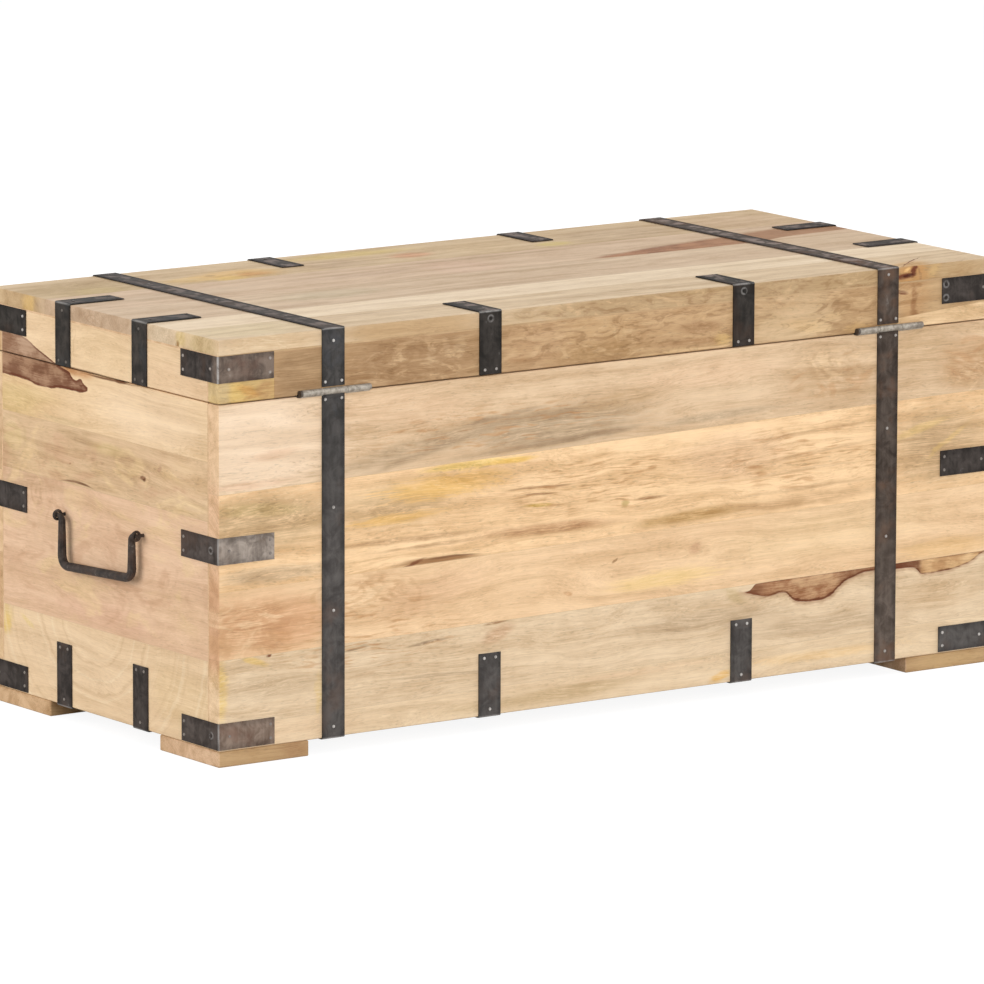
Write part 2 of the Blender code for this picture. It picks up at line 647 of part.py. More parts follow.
def make_eye(name, x_sign, y_sign, wall):
    """A wire ring on a shank that is driven into the end wall."""
    y = y_sign * (HANDLE_SPAN / 2 + EYE_FROM_LEG)
    bpy.ops.mesh.primitive_torus_add(
        major_radius=EYE_RING_RADIUS,
        minor_radius=EYE_WIRE_RADIUS,
        major_segments=EYE_RING_SEGMENTS,
        minor_segments=EYE_WIRE_SEGMENTS,
    )
    ring = bpy.context.object
    mesh = ring.data
    bpy.data.objects.remove(ring)
    place = Matrix.Translation((x_sign * HANDLE_X, y, HANDLE_HEIGHT))
    upright = place @ Matrix.Rotation(math.pi / 2, 4, "X")
    eye = add_part(name, mesh, upright, "black_iron", CHEST)
    to_wall = HANDLE_STANDOFF - EYE_RING_RADIUS

    def shank(work):
        start = (-x_sign * EYE_RING_RADIUS, 0, 0)
        along = (-x_sign * (to_wall + SHANK_IN_WALL), 0, 0)
        add_cylinder(work, start, along, SHANK_RADIUS, SHANK_RADIUS, SHANK_SIDES)

    def hole(work):
        radius = SHANK_RADIUS + SHANK_CLEARANCE
        start = (-x_sign * (HANDLE_STANDOFF - OVERRUN), 0, 0)
        along = (-x_sign * (OVERRUN + SHANK_IN_WALL + SHANK_CLEARANCE), 0, 0)
        add_cylinder(work, start, along, radius, radius, SHANK_SIDES)

    shank_mesh = mesh_from(f"{name}_shank", shank)
    add_boolean(eye, "UNION", add_cutter(f"{name}_shank", shank_mesh, place))
    hole_mesh = mesh_from(f"{name}_hole", hole)
    add_boolean(wall, "DIFFERENCE", add_cutter(f"{name}_hole", hole_mesh, place))


clear_scene()
PARTS = new_collection("storage_chest")
CUTTERS = new_collection("cutters", hidden=True)
CHEST = axis_empty("chest", (0, 0, 0))
LID_AXIS = axis_empty("lid_axis", (0, HINGE_Y, HINGE_Z), CHEST)
make_box_woodwork()
make_lid_woodwork()
make_brackets()
make_corner_irons()
for end_name in ENDS:
    make_lid_strap(end_name)
    make_box_strap(end_name)
    make_hinge(end_name)
    make_handle(end_name)
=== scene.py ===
"""Looks of the storage chest: pale solid wood boards, blackened flat-iron fittings and two
drop handles, on a plain white floor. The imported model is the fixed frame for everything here.
"""

import math
from collections import namedtuple

import bmesh
import bpy
from mathutils import Matrix, Vector


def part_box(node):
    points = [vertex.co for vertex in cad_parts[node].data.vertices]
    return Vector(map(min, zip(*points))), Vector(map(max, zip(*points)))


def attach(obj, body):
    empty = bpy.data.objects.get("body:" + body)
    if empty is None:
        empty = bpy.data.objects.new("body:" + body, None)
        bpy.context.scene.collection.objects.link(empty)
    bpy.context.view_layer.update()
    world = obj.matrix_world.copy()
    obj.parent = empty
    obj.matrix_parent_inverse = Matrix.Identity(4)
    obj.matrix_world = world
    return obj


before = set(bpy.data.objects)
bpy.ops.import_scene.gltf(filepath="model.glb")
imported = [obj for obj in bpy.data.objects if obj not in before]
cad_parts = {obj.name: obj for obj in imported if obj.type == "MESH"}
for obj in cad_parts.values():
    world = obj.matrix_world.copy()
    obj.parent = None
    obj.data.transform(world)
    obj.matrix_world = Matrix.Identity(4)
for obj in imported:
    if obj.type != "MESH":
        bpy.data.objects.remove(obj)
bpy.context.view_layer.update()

# Camera, as fitted to the box's edges in the photograph
CAMERA_LOCATION = (-5.0426, -7.1636, 1.7527)
CAMERA_RIGHT = (0.81829535, -0.57479144, 0.00274197)
CAMERA_UP = (0.09903361, 0.14568386, 0.98436201)
CAMERA_LENS = 337.46
SENSOR_WIDTH = 36.0
CAMERA_REACH = 200.0

# Faces of the wooden box, read from the frame
LEFT_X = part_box("hinge_side_wall")[0].x
RIGHT_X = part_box("hinge_side_wall")[1].x
HINGE_SIDE_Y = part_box("hinge_side_wall")[0].y
OPENING_SIDE_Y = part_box("opening_side_wall")[1].y
TOP_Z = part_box("lid_panel")[1].z

# Outer planes of the irons, from which the nail heads stand proud
IRON_Y = 0.19635
IRON_X = 0.45135
IRON_TOP_Z = 0.40135
IRON_UNDER_Z = 0.01365
IRON_WIDTH = 0.025

MM_PER_METRE = 1000.0

# Tints are written as three display levels, 0 to 255, and these turn them into linear light
TOP_LEVEL = 255.0
DARK_SHARE, DARK_SLOPE = 0.04045, 12.92
LEVEL_OFFSET, LEVEL_POWER = 0.055, 2.4
RGBA_LENGTH = 4

# Where a mixing node has its two colours and their result
MIX_A, MIX_B, MIX_RESULT = 6, 7, 2


def rgba(tint):
    """A tint of display levels as linear RGBA. A field, and RGBA itself, stays as it is."""
    if isinstance(tint, Field) or len(tint) == RGBA_LENGTH:
        return tint
    linear = []
    for share in (level / TOP_LEVEL for level in tint):
        curved = ((share + LEVEL_OFFSET) / (1.0 + LEVEL_OFFSET)) ** LEVEL_POWER
        linear.append(share / DARK_SLOPE if share <= DARK_SHARE else curved)
    return (*linear, 1.0)


class Field:
    """An output socket of a shader node that takes part in sums like a number."""

    def __init__(self, graph, socket):
        self.graph = graph
        self.socket = socket

    def __add__(self, other):
        return self.graph.math("ADD", self, other)

    def __sub__(self, other):
        return self.graph.math("SUBTRACT", self, other)

    def __rsub__(self, other):
        return self.graph.math("SUBTRACT", other, self)

    def __mul__(self, other):
        return self.graph.math("MULTIPLY", self, other)

    __radd__ = __add__
    __rmul__ = __mul__


class Graph:
    """Short ways to make the nodes of one material."""

    def __init__(self, material):
        self.nodes = material.node_tree.nodes
        self.links = material.node_tree.links

    def node(self, kind, inputs=(), output=0, **settings):
        made = self.nodes.new("ShaderNode" + kind)
        for name, value in settings.items():
            setattr(made, name, value)
        for key, value in dict(inputs).items():
            if isinstance(value, Field):
                self.links.new(value.socket, made.inputs[key])
            else:
                made.inputs[key].default_value = value
        return Field(self, made.outputs[output])

    def place(self):
        return self.node("TexCoord", output="Object")

    def math(self, operation, a, b=0.0):
        return self.node("Math", {0: a, 1: b}, operation=operation)

    def highest(self, a, *others):
        for other in others:
            a = self.math("MAXIMUM", a, other)
        return a

    def vector(self, operation, a, b):
        return self.node("VectorMath", {0: a, 1: b}, operation=operation)

    def dot(self, a, b):
        return self.node("VectorMath", {0: a, 1: b}, "Value", operation="DOT_PRODUCT")

    def length(self, a):
        return self.node("VectorMath", {0: a}, "Value", operation="LENGTH")

    def combine(self, x, y, z=0.0):
        return self.node("CombineXYZ", {0: x, 1: y, 2: z})

    def separate(self, vector):
        made = self.node("SeparateXYZ", {0: vector})
        return [Field(self, output) for output in made.socket.node.outputs]

    def ease(self, value, start, end, to_start=0.0, to_end=1.0):
        """Runs smoothly from to_start to to_end while value goes from start to end."""
        ends = {"From Min": start, "From Max": end, "To Min": to_start, "To Max": to_end}
        return self.node("MapRange", {"Value": value, **ends}, interpolation_type="SMOOTHSTEP")

    def mix(self, share, a, b, **settings):
        """Colour a where share is 0 and colour b where it is 1."""
        inputs = {0: share, MIX_A: rgba(a), MIX_B: rgba(b)}
        return self.node("Mix", inputs, MIX_RESULT, data_type="RGBA", **settings)

    def blend(self, share, a, b):
        """Number a where share is 0 and number b where it is 1."""
        return (b - a) * share + a

    def tinted(self, a, b):
        """The product of two colours."""
        return self.mix(1.0, a, b, blend_type="MULTIPLY")

    def scale(self, vector, factor):
        return self.node("VectorMath", {0: vector, "Scale": factor}, operation="SCALE")

    def noise(self, vector, detail=2.0, roughness=0.5, distortion=0.0, scale=1.0):
        settings = {"Scale": scale, "Detail": detail, "Roughness": roughness}
        return self.node("TexNoise", {"Vector": vector, "Distortion": distortion, **settings})

    def profile(self, value, points):
        """A height read from a smooth line through points, which run from the lowest value."""
        start, end = points[0][0], points[-1][0]
        low = min(height for _, height in points)
        high = max(height for _, height in points)
        along = self.node("MapRange", {"Value": value, "From Min": start, "From Max": end})
        made = self.node("FloatCurve", {"Value": along})
        curve = made.socket.node.mapping.curves[0]
        places = [((x - start) / (end - start), (y - low) / (high - low)) for x, y in points]
        curve.points[0].location = places[0]
        curve.points[1].location = places[-1]
        for place in places[1:-1]:
            curve.points.new(*place)
        made.socket.node.mapping.update()
        return made * (high - low) + low

    def output(self, kind, surface):
        made = self.nodes.new("ShaderNodeOutput" + kind)
        self.links.new(surface.socket, made.inputs["Surface"])


def new_material(name):
    """A material with one Principled shader, and the graph that its patterns are built in."""
    material = bpy.data.materials.new(name)
    material.use_nodes = True
    return material, Graph(material)


def dress(g, tint, roughness, relief, strength, distance, metallic, specular):
    """Gives a material its patterns, the strength and distance of its relief, and its gloss."""
    shader = g.nodes["Principled BSDF"]
    bump = g.node("Bump", {"Strength": strength, "Distance": distance, "Height": relief})
    for name, field in (("Base Color", tint), ("Roughness", roughness), ("Normal", bump)):
        g.links.new(field.socket, shader.inputs[name])
    shader.inputs["Metallic"].default_value = metallic
    shader.inputs["Specular IOR Level"].default_value = specular


def add_object(name, data):
    made = bpy.data.objects.new(name, data)
    bpy.context.scene.collection.objects.link(made)
    return made


def add_mesh(name, work, material):
    """An object made of a mesh in work, which is used up."""
    mesh = bpy.data.meshes.new(name)
    work.to_mesh(mesh)
    work.free()
    mesh.materials.append(material)
    return add_object(name, mesh)


def finish_node(node_name, material):
    """Gives a CAD node that keeps its shape the material that it is seen in."""
    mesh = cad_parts[node_name].data
    mesh.materials.clear()
    mesh.materials.append(material)


# Woods. A panel's own place is in millimetres: u along its grain, v across its boards and
# w through its thickness.
Panel = namedtuple("Panel", "u_axis u_start u_sign v_axis v_start w_axis")
LONG_SIDE = Panel(0, LEFT_X, 1, 2, 0.0, 1)
END_SIDE = Panel(1, OPENING_SIDE_Y, -1, 2, 0.0, 0)
LID_TOP = Panel(0, LEFT_X, 1, 1, HINGE_SIDE_Y, 2)

# A board's lower edge is at height edge where u is 0, and rises by rise for each unit of u.
# Its contrast is how far its grain departs from its mean tint.
Board = namedtuple("Board", "edge rise tint contrast marks", defaults=((),))

# A mark is an ellipse of another tint, tilted by degrees, and ragged where the grain runs
# through it. Its count is that of the rings inside it, 0 for a plain patch, and its sag bends
# it down at its ends. The tables below give each mark as these fields in their order.
MARK_FIELDS = "u v half_length half_height tilt tint strength ragged count sag"
Mark = namedtuple("Mark", MARK_FIELDS, defaults=(1.5, 0, 0.0))

# Marks that are drawn only where a face looks one way: that face's panel, the axis it faces
# along, and the sign
Layer = namedtuple("Layer", "panel marks axis sign")

CREAM = (247, 218, 182)
PALE_PEACH = (241, 205, 168)
PINK_TAN = (224, 180, 144)
ORANGE_TAN = (217, 168, 122)
TAN = (211, 178, 137)
GREY_TAN = (199, 173, 141)
GREY_BROWN = (160, 134, 106)
BROWN = (170, 128, 88)
DARK_BROWN = (120, 82, 56)
RED_BROWN = (118, 66, 44)
GOLD = (236, 188, 108)
YELLOW = (242, 208, 128)
OLIVE_TAN = (200, 174, 122)

# How much brighter and darker the grain makes a tint, and end grain against long grain, and how
# far apart two boards of a panel are in the pattern that they are cut from
PALE_RATIO = (1.10, 1.13, 1.17, 1.0)
DEEP_RATIO = (0.78, 0.72, 0.65, 1.0)
END_RATIO = (0.93, 0.88, 0.83, 1.0)
BOARD_SHIFT = (413.0, 171.0, 97.0)


def panel_place(graph, panel):
    """The fields u, v and w of a panel, in millimetres."""
    axes = graph.separate(graph.place())
    u = (axes[panel.u_axis] - panel.u_start) * (panel.u_sign * MM_PER_METRE)
    v = (axes[panel.v_axis] - panel.v_start) * MM_PER_METRE
    w = axes[panel.w_axis] * MM_PER_METRE
    return u, v, w


# How much of a normal lies along an axis where a face starts to count as facing along it, and
# where it fully does
FACING_FROM, FACING_TO = 0.55, 0.75


def facing(g, axis, sign):
    """1 on the faces that look along an axis, to the side that sign gives, or either for 0."""
    along = g.separate(g.node("TexCoord", output="Normal"))[axis]
    along = along * sign if sign else g.math("ABSOLUTE", along)
    return g.ease(along, FACING_FROM, FACING_TO)


# The fields that a wood's patterns share: place, and the noises of its grain
Grain = namedtuple("Grain", "u v streak cloud waver")


def reach_of(g, place, m):
    """How far a place is from a mark's middle, where 1 is on its outline. Its z is 1."""
    tilt = math.radians(m.tilt)
    cos, sin = math.cos(tilt), math.sin(tilt)
    shares = []
    for axis, half in (((cos, sin), m.half_length), ((-sin, cos), m.half_height)):
        start = axis[0] * m.u + axis[1] * m.v
        weights = (axis[0] / half, axis[1] / half, -start / half)
        shares.append(g.dot(place, weights))
    return g.length(g.combine(*shares))


# How far the noises push a mark's outline, in millimetres, and how ragged a mark has to be
# for the grain to show through it
MARK_WANDER_U, MARK_WANDER_V = 16.0, 4.0
DAPPLED_FROM = 1.0


def draw_marks(g, tint, marks, grain, shown=None):
    """Lays marks over a tint. The grain makes their edges ragged."""
    if not marks:
        return tint
    wander_u = grain.cloud * MARK_WANDER_U + grain.u
    wander_v = grain.waver * MARK_WANDER_V + grain.v
    place = g.combine(wander_u, wander_v, 1.0)
    dapple = g.ease(grain.streak * 1.8 + grain.cloud * 0.8, -0.42, 0.2, 0.4, 1.0)
    for m in (Mark(*fields) for fields in marks):
        at_place = place
        if m.sag:
            off = wander_u - m.u
            at_place = g.combine(wander_u, wander_v + off * off * m.sag, 1.0)
        reach = reach_of(g, at_place, m)
        inside = g.ease(reach + grain.streak * m.ragged, 0.5, 1.3, m.strength, 0.0)
        if m.count:
            ripple = g.math("SINE", (reach + grain.cloud * 0.7) * (m.count * math.tau))
            inside = inside * g.ease(ripple + grain.streak, -0.4, 1.0) * dapple
        elif m.ragged > DAPPLED_FROM:
            inside = inside * dapple
        if shown is not None:
            inside = inside * shown
        tint = g.mix(inside, tint, m.tint)
    return tint


# A wood's noises: their cells' length along the grain and height across it, in millimetres,
# then their detail and roughness
GRAIN_NOISES = {
    "bend": (190, 44, 1.0, 0.5),
    "waver": (42, 10, 2.0, 0.5),
    "broad": (230, 12, 2.0, 0.5),
    "streak": (44, 1.5, 4.0, 0.7),
    "line": (60, 1.1, 2.0, 0.6),
    "fibre": (16, 0.6, 2.0, 0.5),
    "cloud": (30, 20, 4.0, 0.62),
    "fleck": (7.5, 1.2, 1.0, 0.5),
}

# How far the bends and wavers of the grain carry its streaks, and half the height over which
# one board's tint turns into the next one's, in millimetres
BEND_LIFT, WAVER_LIFT = 42.0, 4.5
BORDER_BLUR = 0.35


def grain_noise(g, place, kind):
    """One of a wood's noises, from 0 to 1."""
    length, height, detail, roughness = GRAIN_NOISES[kind]
    cells = g.vector("MULTIPLY", place, (1 / length, 1 / height, 1 / height))
    return g.noise(cells, detail, roughness)


def wood(name, panel, boards, seed, extras=(), layers=()):
    """A solid panel of glued boards, cut from one pattern at unlike places."""
    material, g = new_material(name)
    u, v, w = panel_place(g, panel)
    place = g.vector("ADD", g.combine(u, v, w), [seed * shift for shift in BOARD_SHIFT])
    borders = []
    glue_line = 0.0
    for board in boards[1:]:
        above = g.ease(v - u * board.rise, board.edge - BORDER_BLUR, board.edge + BORDER_BLUR)
        place = g.vector("ADD", place, g.vector("MULTIPLY", above, BOARD_SHIFT))
        glue_line = above * (1.0 - above) + glue_line
        borders.append(above)

    # Slow bends carry the streaks, and smaller ones make them waver
    bend, waver, cloud = (grain_noise(g, place, kind) - 0.5 for kind in ("bend", "waver", "cloud"))
    lift = bend * BEND_LIFT + waver * WAVER_LIFT
    bent = g.vector("ADD", place, g.combine(0.0, lift, lift))
    broad, streak, fibre = (
        grain_noise(g, bent, kind) - 0.5 for kind in ("broad", "streak", "fibre")
    )
    fleck = g.ease(grain_noise(g, bent, "fleck") + broad * 0.3 + cloud * 0.3, 0.6, 0.74)
    line = g.ease(grain_noise(g, bent, "line") + broad * 0.3, 0.6, 0.76)
    grain = Grain(u, v, streak, cloud, waver)

    tint = draw_marks(g, boards[0].tint, boards[0].marks, grain)
    contrast = boards[0].contrast
    for above, board in zip(borders, boards[1:]):
        tint = g.mix(above, tint, draw_marks(g, board.tint, board.marks, grain))
        contrast = g.blend(above, contrast, board.contrast)
    tint = g.mix(facing(g, panel.u_axis, 0), tint, g.tinted(tint, END_RATIO))
    for layer in layers:
        side_u, side_v, _ = panel_place(g, layer.panel)
        side_grain = Grain(side_u, side_v, streak, cloud, waver)
        tint = draw_marks(g, tint, layer.marks, side_grain, facing(g, layer.axis, layer.sign))
    for extra in extras:
        tint = extra(g, grain, tint)

    tone = (broad * 1.25 + streak * 1.15 + cloud * 0.6) * contrast + 0.5
    tint = g.tinted(tint, g.mix(g.ease(tone, 0.0, 1.0), PALE_RATIO, DEEP_RATIO))
    light = 1.0 + fibre * 0.2 - fleck * contrast * 0.13 - line * contrast * 0.12 - glue_line * 0.5
    roughness = 0.74 - streak * 0.16 + fleck * 0.1
    relief = fibre * 0.5 + streak * 0.5 - fleck * 0.8 - glue_line * 1.2
    dress(g, g.scale(tint, light), roughness, relief, 0.35, 0.00025, 0.0, 0.12)
    return material


# Heartwood in the hinge-side wall's fourth board, either side of the right strap
HEART_TOP = ((600, 102), (606, 101.2), (618, 107.5), (700, 108.6), (760, 109.4), (900, 111.4))
HEART_FOOT = (
    (600, 101), (606, 100), (617, 97), (632, 94.2), (648, 96), (658, 91), (668, 85.5), (690, 83.6),
    (704, 86), (716, 93.5), (732, 101.5), (762, 106), (785, 104.5), (806, 103.5), (814, 100),
    (819, 96.2), (842, 96.4), (872, 100.5), (892, 109.5), (900, 112),
)
HEART_FILL = (206, 166, 126)
HEART_SHADE = (164, 114, 80)
PALE_HEART_FILL = (224, 186, 138)
PALE_HEART_SHADE = (200, 156, 110)
HEART_RIM = (106, 58, 38)

# Where the streak is nearly all rim: the middle along u, the outer and inner reach, the share
HEART_SOLIDS = ((798, 22, 15, 1.0), (735, 26, 8, 0.5), (612, 22, 4, 0.7))


def heart_body(g, above, below, rim_width, grain, fills):
    """Tint of a heartwood patch, by the distances to its lower and upper edges."""
    fill = g.mix(g.ease(grain.cloud * 2.0 + grain.streak * 0.8, -0.25, 0.3), *fills)
    wide = rim_width + grain.cloud * 8.0 + grain.streak * 5.0
    low_rim = g.ease(above - wide, 1.2, -0.8)
    soft_rim = g.ease(above - wide, 5.0, -1.0) * 0.5
    top_rim = g.ease(below + grain.streak * 2.0, 1.5, 0.1) * g.ease(grain.cloud, -0.12, 0.12)
    fill = g.mix(soft_rim, fill, fills[1])
    return g.mix(g.math("MAXIMUM", low_rim, top_rim) * 0.92, fill, HEART_RIM)


def heart_streak(g, grain, tint):
    u, v, streak, cloud, _ = grain
    lower = g.profile(u, HEART_FOOT)
    upper = g.profile(u, HEART_TOP)
    above = v + streak * 2.4 + cloud * 2.4 - lower
    below = upper - v
    under_joint = g.ease(below, -0.4, 0.4)
    shown = g.ease(above, -0.8, 0.6) * under_joint * g.ease(u, 603, 607)
    far = g.ease(u, 800, 822)
    fill = g.mix(far, HEART_FILL, PALE_HEART_FILL)
    shade = g.mix(far, HEART_SHADE, PALE_HEART_SHADE)
    body = heart_body(g, above, below, g.ease(u, 700, 830, 1.9, 0.7), grain, (fill, shade))
    body = g.mix(g.ease(u + cloud * 60.0, 655, 615) * 0.6, body, HEART_SHADE)
    solids = []
    for middle, outer, inner, strength in HEART_SOLIDS:
        solids.append(g.ease(g.math("ABSOLUTE", u - middle), outer, inner) * strength)
    solid = g.highest(*solids) * g.ease(streak + cloud, -0.4, 0.0, 0.5, 1.0)
    halo = g.ease(above + cloud * 6.0, -5.0, 0.0) * under_joint * g.ease(u, 592, 606)
    tint = g.mix(halo * 0.5, tint, HEART_SHADE)
    return g.mix(shown, tint, g.mix(solid * 0.85, body, HEART_RIM))


# Heartwood that crosses the lid's seam on the left end
PATCH_FOOT = (
    (0, 318), (16, 319), (60, 319), (80, 316), (100, 316), (118, 318.9), (157, 319.7),
    (169, 325.6),
)
PATCH_TOP = (
    (0, 346), (106, 346), (114, 341), (136, 336), (148, 330), (155, 332.5), (160, 329),
    (169, 325.6),
)
PATCH_LID_FOOT = ((0, 328), (169, 330))
PATCH_LID_TOP = (
    (0, 361.5), (30, 361.5), (51, 360), (82, 350.5), (113, 341), (120, 338), (169, 336),
)
PATCH_FILLS = ((176, 138, 108), (132, 92, 68))
LID_PATCH_FILLS = ((190, 156, 128), (150, 112, 86))


def patch(foot, top, rim_width, line_width, fills):
    """A heartwood patch between two edges, as an extra for a wood, with a dark upper line."""

    def extra(g, grain, tint):
        u, v, streak, cloud, _ = grain
        end = top[-1][0]
        above = v + streak * 3.0 + cloud * 3.0 - g.profile(u, foot)
        below = g.profile(u, top) - v + streak * 1.6 + cloud * 1.6
        shown = g.ease(above, -0.6, 0.6) * g.ease(below, -0.5, 0.5) * g.ease(u, end, end - 2.0)
        body = heart_body(g, above, below * 0.8, rim_width, grain, fills)
        dusk = g.ease(u + cloud * 40.0, end - 50.0, end - 4.0) * g.ease(streak + cloud, -0.3, 0.2)
        body = g.mix(dusk * 0.85, body, HEART_RIM)
        line = g.ease(below, line_width, line_width * 0.4) * g.ease(u, 60.0, 96.0, 0.3, 0.85)
        return g.mix(shown, tint, g.mix(line, body, HEART_RIM))

    return extra


def within(g, grain, places, share):
    """Share inside ellipses, given by their middles and half sizes, and 0 outside them."""
    shown = 0.0
    for middle_u, middle_v, half_length, half_height in places:
        off_u = (grain.u - middle_u) * (1 / half_length)
        off_v = (grain.v - middle_v) * (1 / half_height)
        inside = g.ease(g.length(g.combine(off_u, off_v)), 1.2, 0.6, 0.0, share)
        shown = g.math("MAXIMUM", inside, shown)
    return shown


def curls(long, high, pale, deep, share, places):
    """Curled figure in paler and deeper tints, as an extra for a wood."""

    def extra(g, grain, tint):
        swirl = g.noise(g.combine(grain.u * (1 / long), grain.v * (1 / high)), 3.0, 0.6, 1.6) - 0.5
        shown = within(g, grain, places, share)
        tint = g.mix(g.ease(swirl, 0.02, 0.15) * shown, tint, pale)
        return g.mix(g.ease(swirl, -0.02, -0.15) * shown, tint, deep)

    return extra


def on_face(extra, panel, axis, sign):
    """An extra that is drawn in another panel's place, on the faces that look one way."""

    def placed(g, grain, tint):
        u, v, _ = panel_place(g, panel)
        side = Grain(u, v, grain.streak, grain.cloud, grain.waver)
        return g.mix(facing(g, axis, sign), tint, extra(g, side, tint))

    return placed


def ticks(long, high, deep, share, places):
    """Dark dashes along the grain, as an extra for a wood."""

    def extra(g, grain, tint):
        wandering = (grain.v + grain.waver * 9.0) * (1 / high)
        pore = g.noise(g.combine(grain.u * (1 / long), wandering), 1.0)
        shown = within(g, grain, places, share)
        return g.mix(g.ease(pore + grain.cloud * 0.4, 0.52, 0.72) * shown, tint, deep)

    return extra


# Heartwood in the lid's top, which widens from a tip to the right end
TOP_STREAK_FOOT = ((560, 214), (575, 208.5), (760, 208.5), (820, 222), (900, 228))
TOP_STREAK_TOP = ((560, 215), (600, 225), (650, 237), (757, 258), (900, 286))


def top_streak(g, grain, tint):
    u, v, streak, cloud, _ = grain
    above = v - g.profile(u, TOP_STREAK_FOOT)
    below = g.profile(u, TOP_STREAK_TOP) - v + cloud * 9.0 + streak * 9.0
    shown = g.ease(above, -0.5, 3.0) * g.ease(below, -2.0, 9.0) * g.ease(u, 562, 600)
    warm = g.mix(g.ease(cloud * 1.5 + streak * 1.5, -0.3, 0.4), (180, 128, 92), (134, 88, 62))
    body = g.mix(g.ease(u, 700, 800) * 0.8, warm, (176, 134, 102))
    return g.mix(shown * 0.9, tint, body)


SHORT_PIECE_END = 62.1
SHORT_PIECE_MARKS = (
    (6, 350, 10, 14, 0, (214, 188, 142), 0.9),
    (22, 348, 10, 14, 0, (234, 200, 124), 0.7, 2.0),
    (36, 350, 13, 5, -20, (220, 166, 96), 0.7, 2.0),
    (40, 345, 14, 1.6, 12, (190, 140, 84), 0.7),
    (53, 350, 10, 12, 0, (198, 158, 110), 0.9),
)


def short_piece(g, grain, tint):
    """The short golden length at the left end of the hinge-side lid rail, with its butt joint."""
    body = draw_marks(g, (212, 180, 122), SHORT_PIECE_MARKS, grain)
    here = g.ease(grain.u, SHORT_PIECE_END + 0.3, SHORT_PIECE_END - 0.3)
    tint = g.mix(here, tint, body)
    joint = g.ease(g.math("ABSOLUTE", grain.u - SHORT_PIECE_END), 0.7, 0.2)
    return g.mix(joint * 0.35, tint, BROWN)


# The glue line's height where u is 0, its rise for each unit of u, and where the strip starts
STRIP_TOP, STRIP_RISE, STRIP_START = 295.6, 0.07, 785


def lower_strip(g, grain, tint):
    """The paler strip under a glue line at the right end of the hinge-side lid rail."""
    height = grain.v - grain.u * STRIP_RISE
    under = g.ease(height, STRIP_TOP + 0.4, STRIP_TOP - 0.4)
    under = under * g.ease(grain.u, STRIP_START - 1, STRIP_START + 1)
    return g.mix(under, tint, (234, 200, 156))


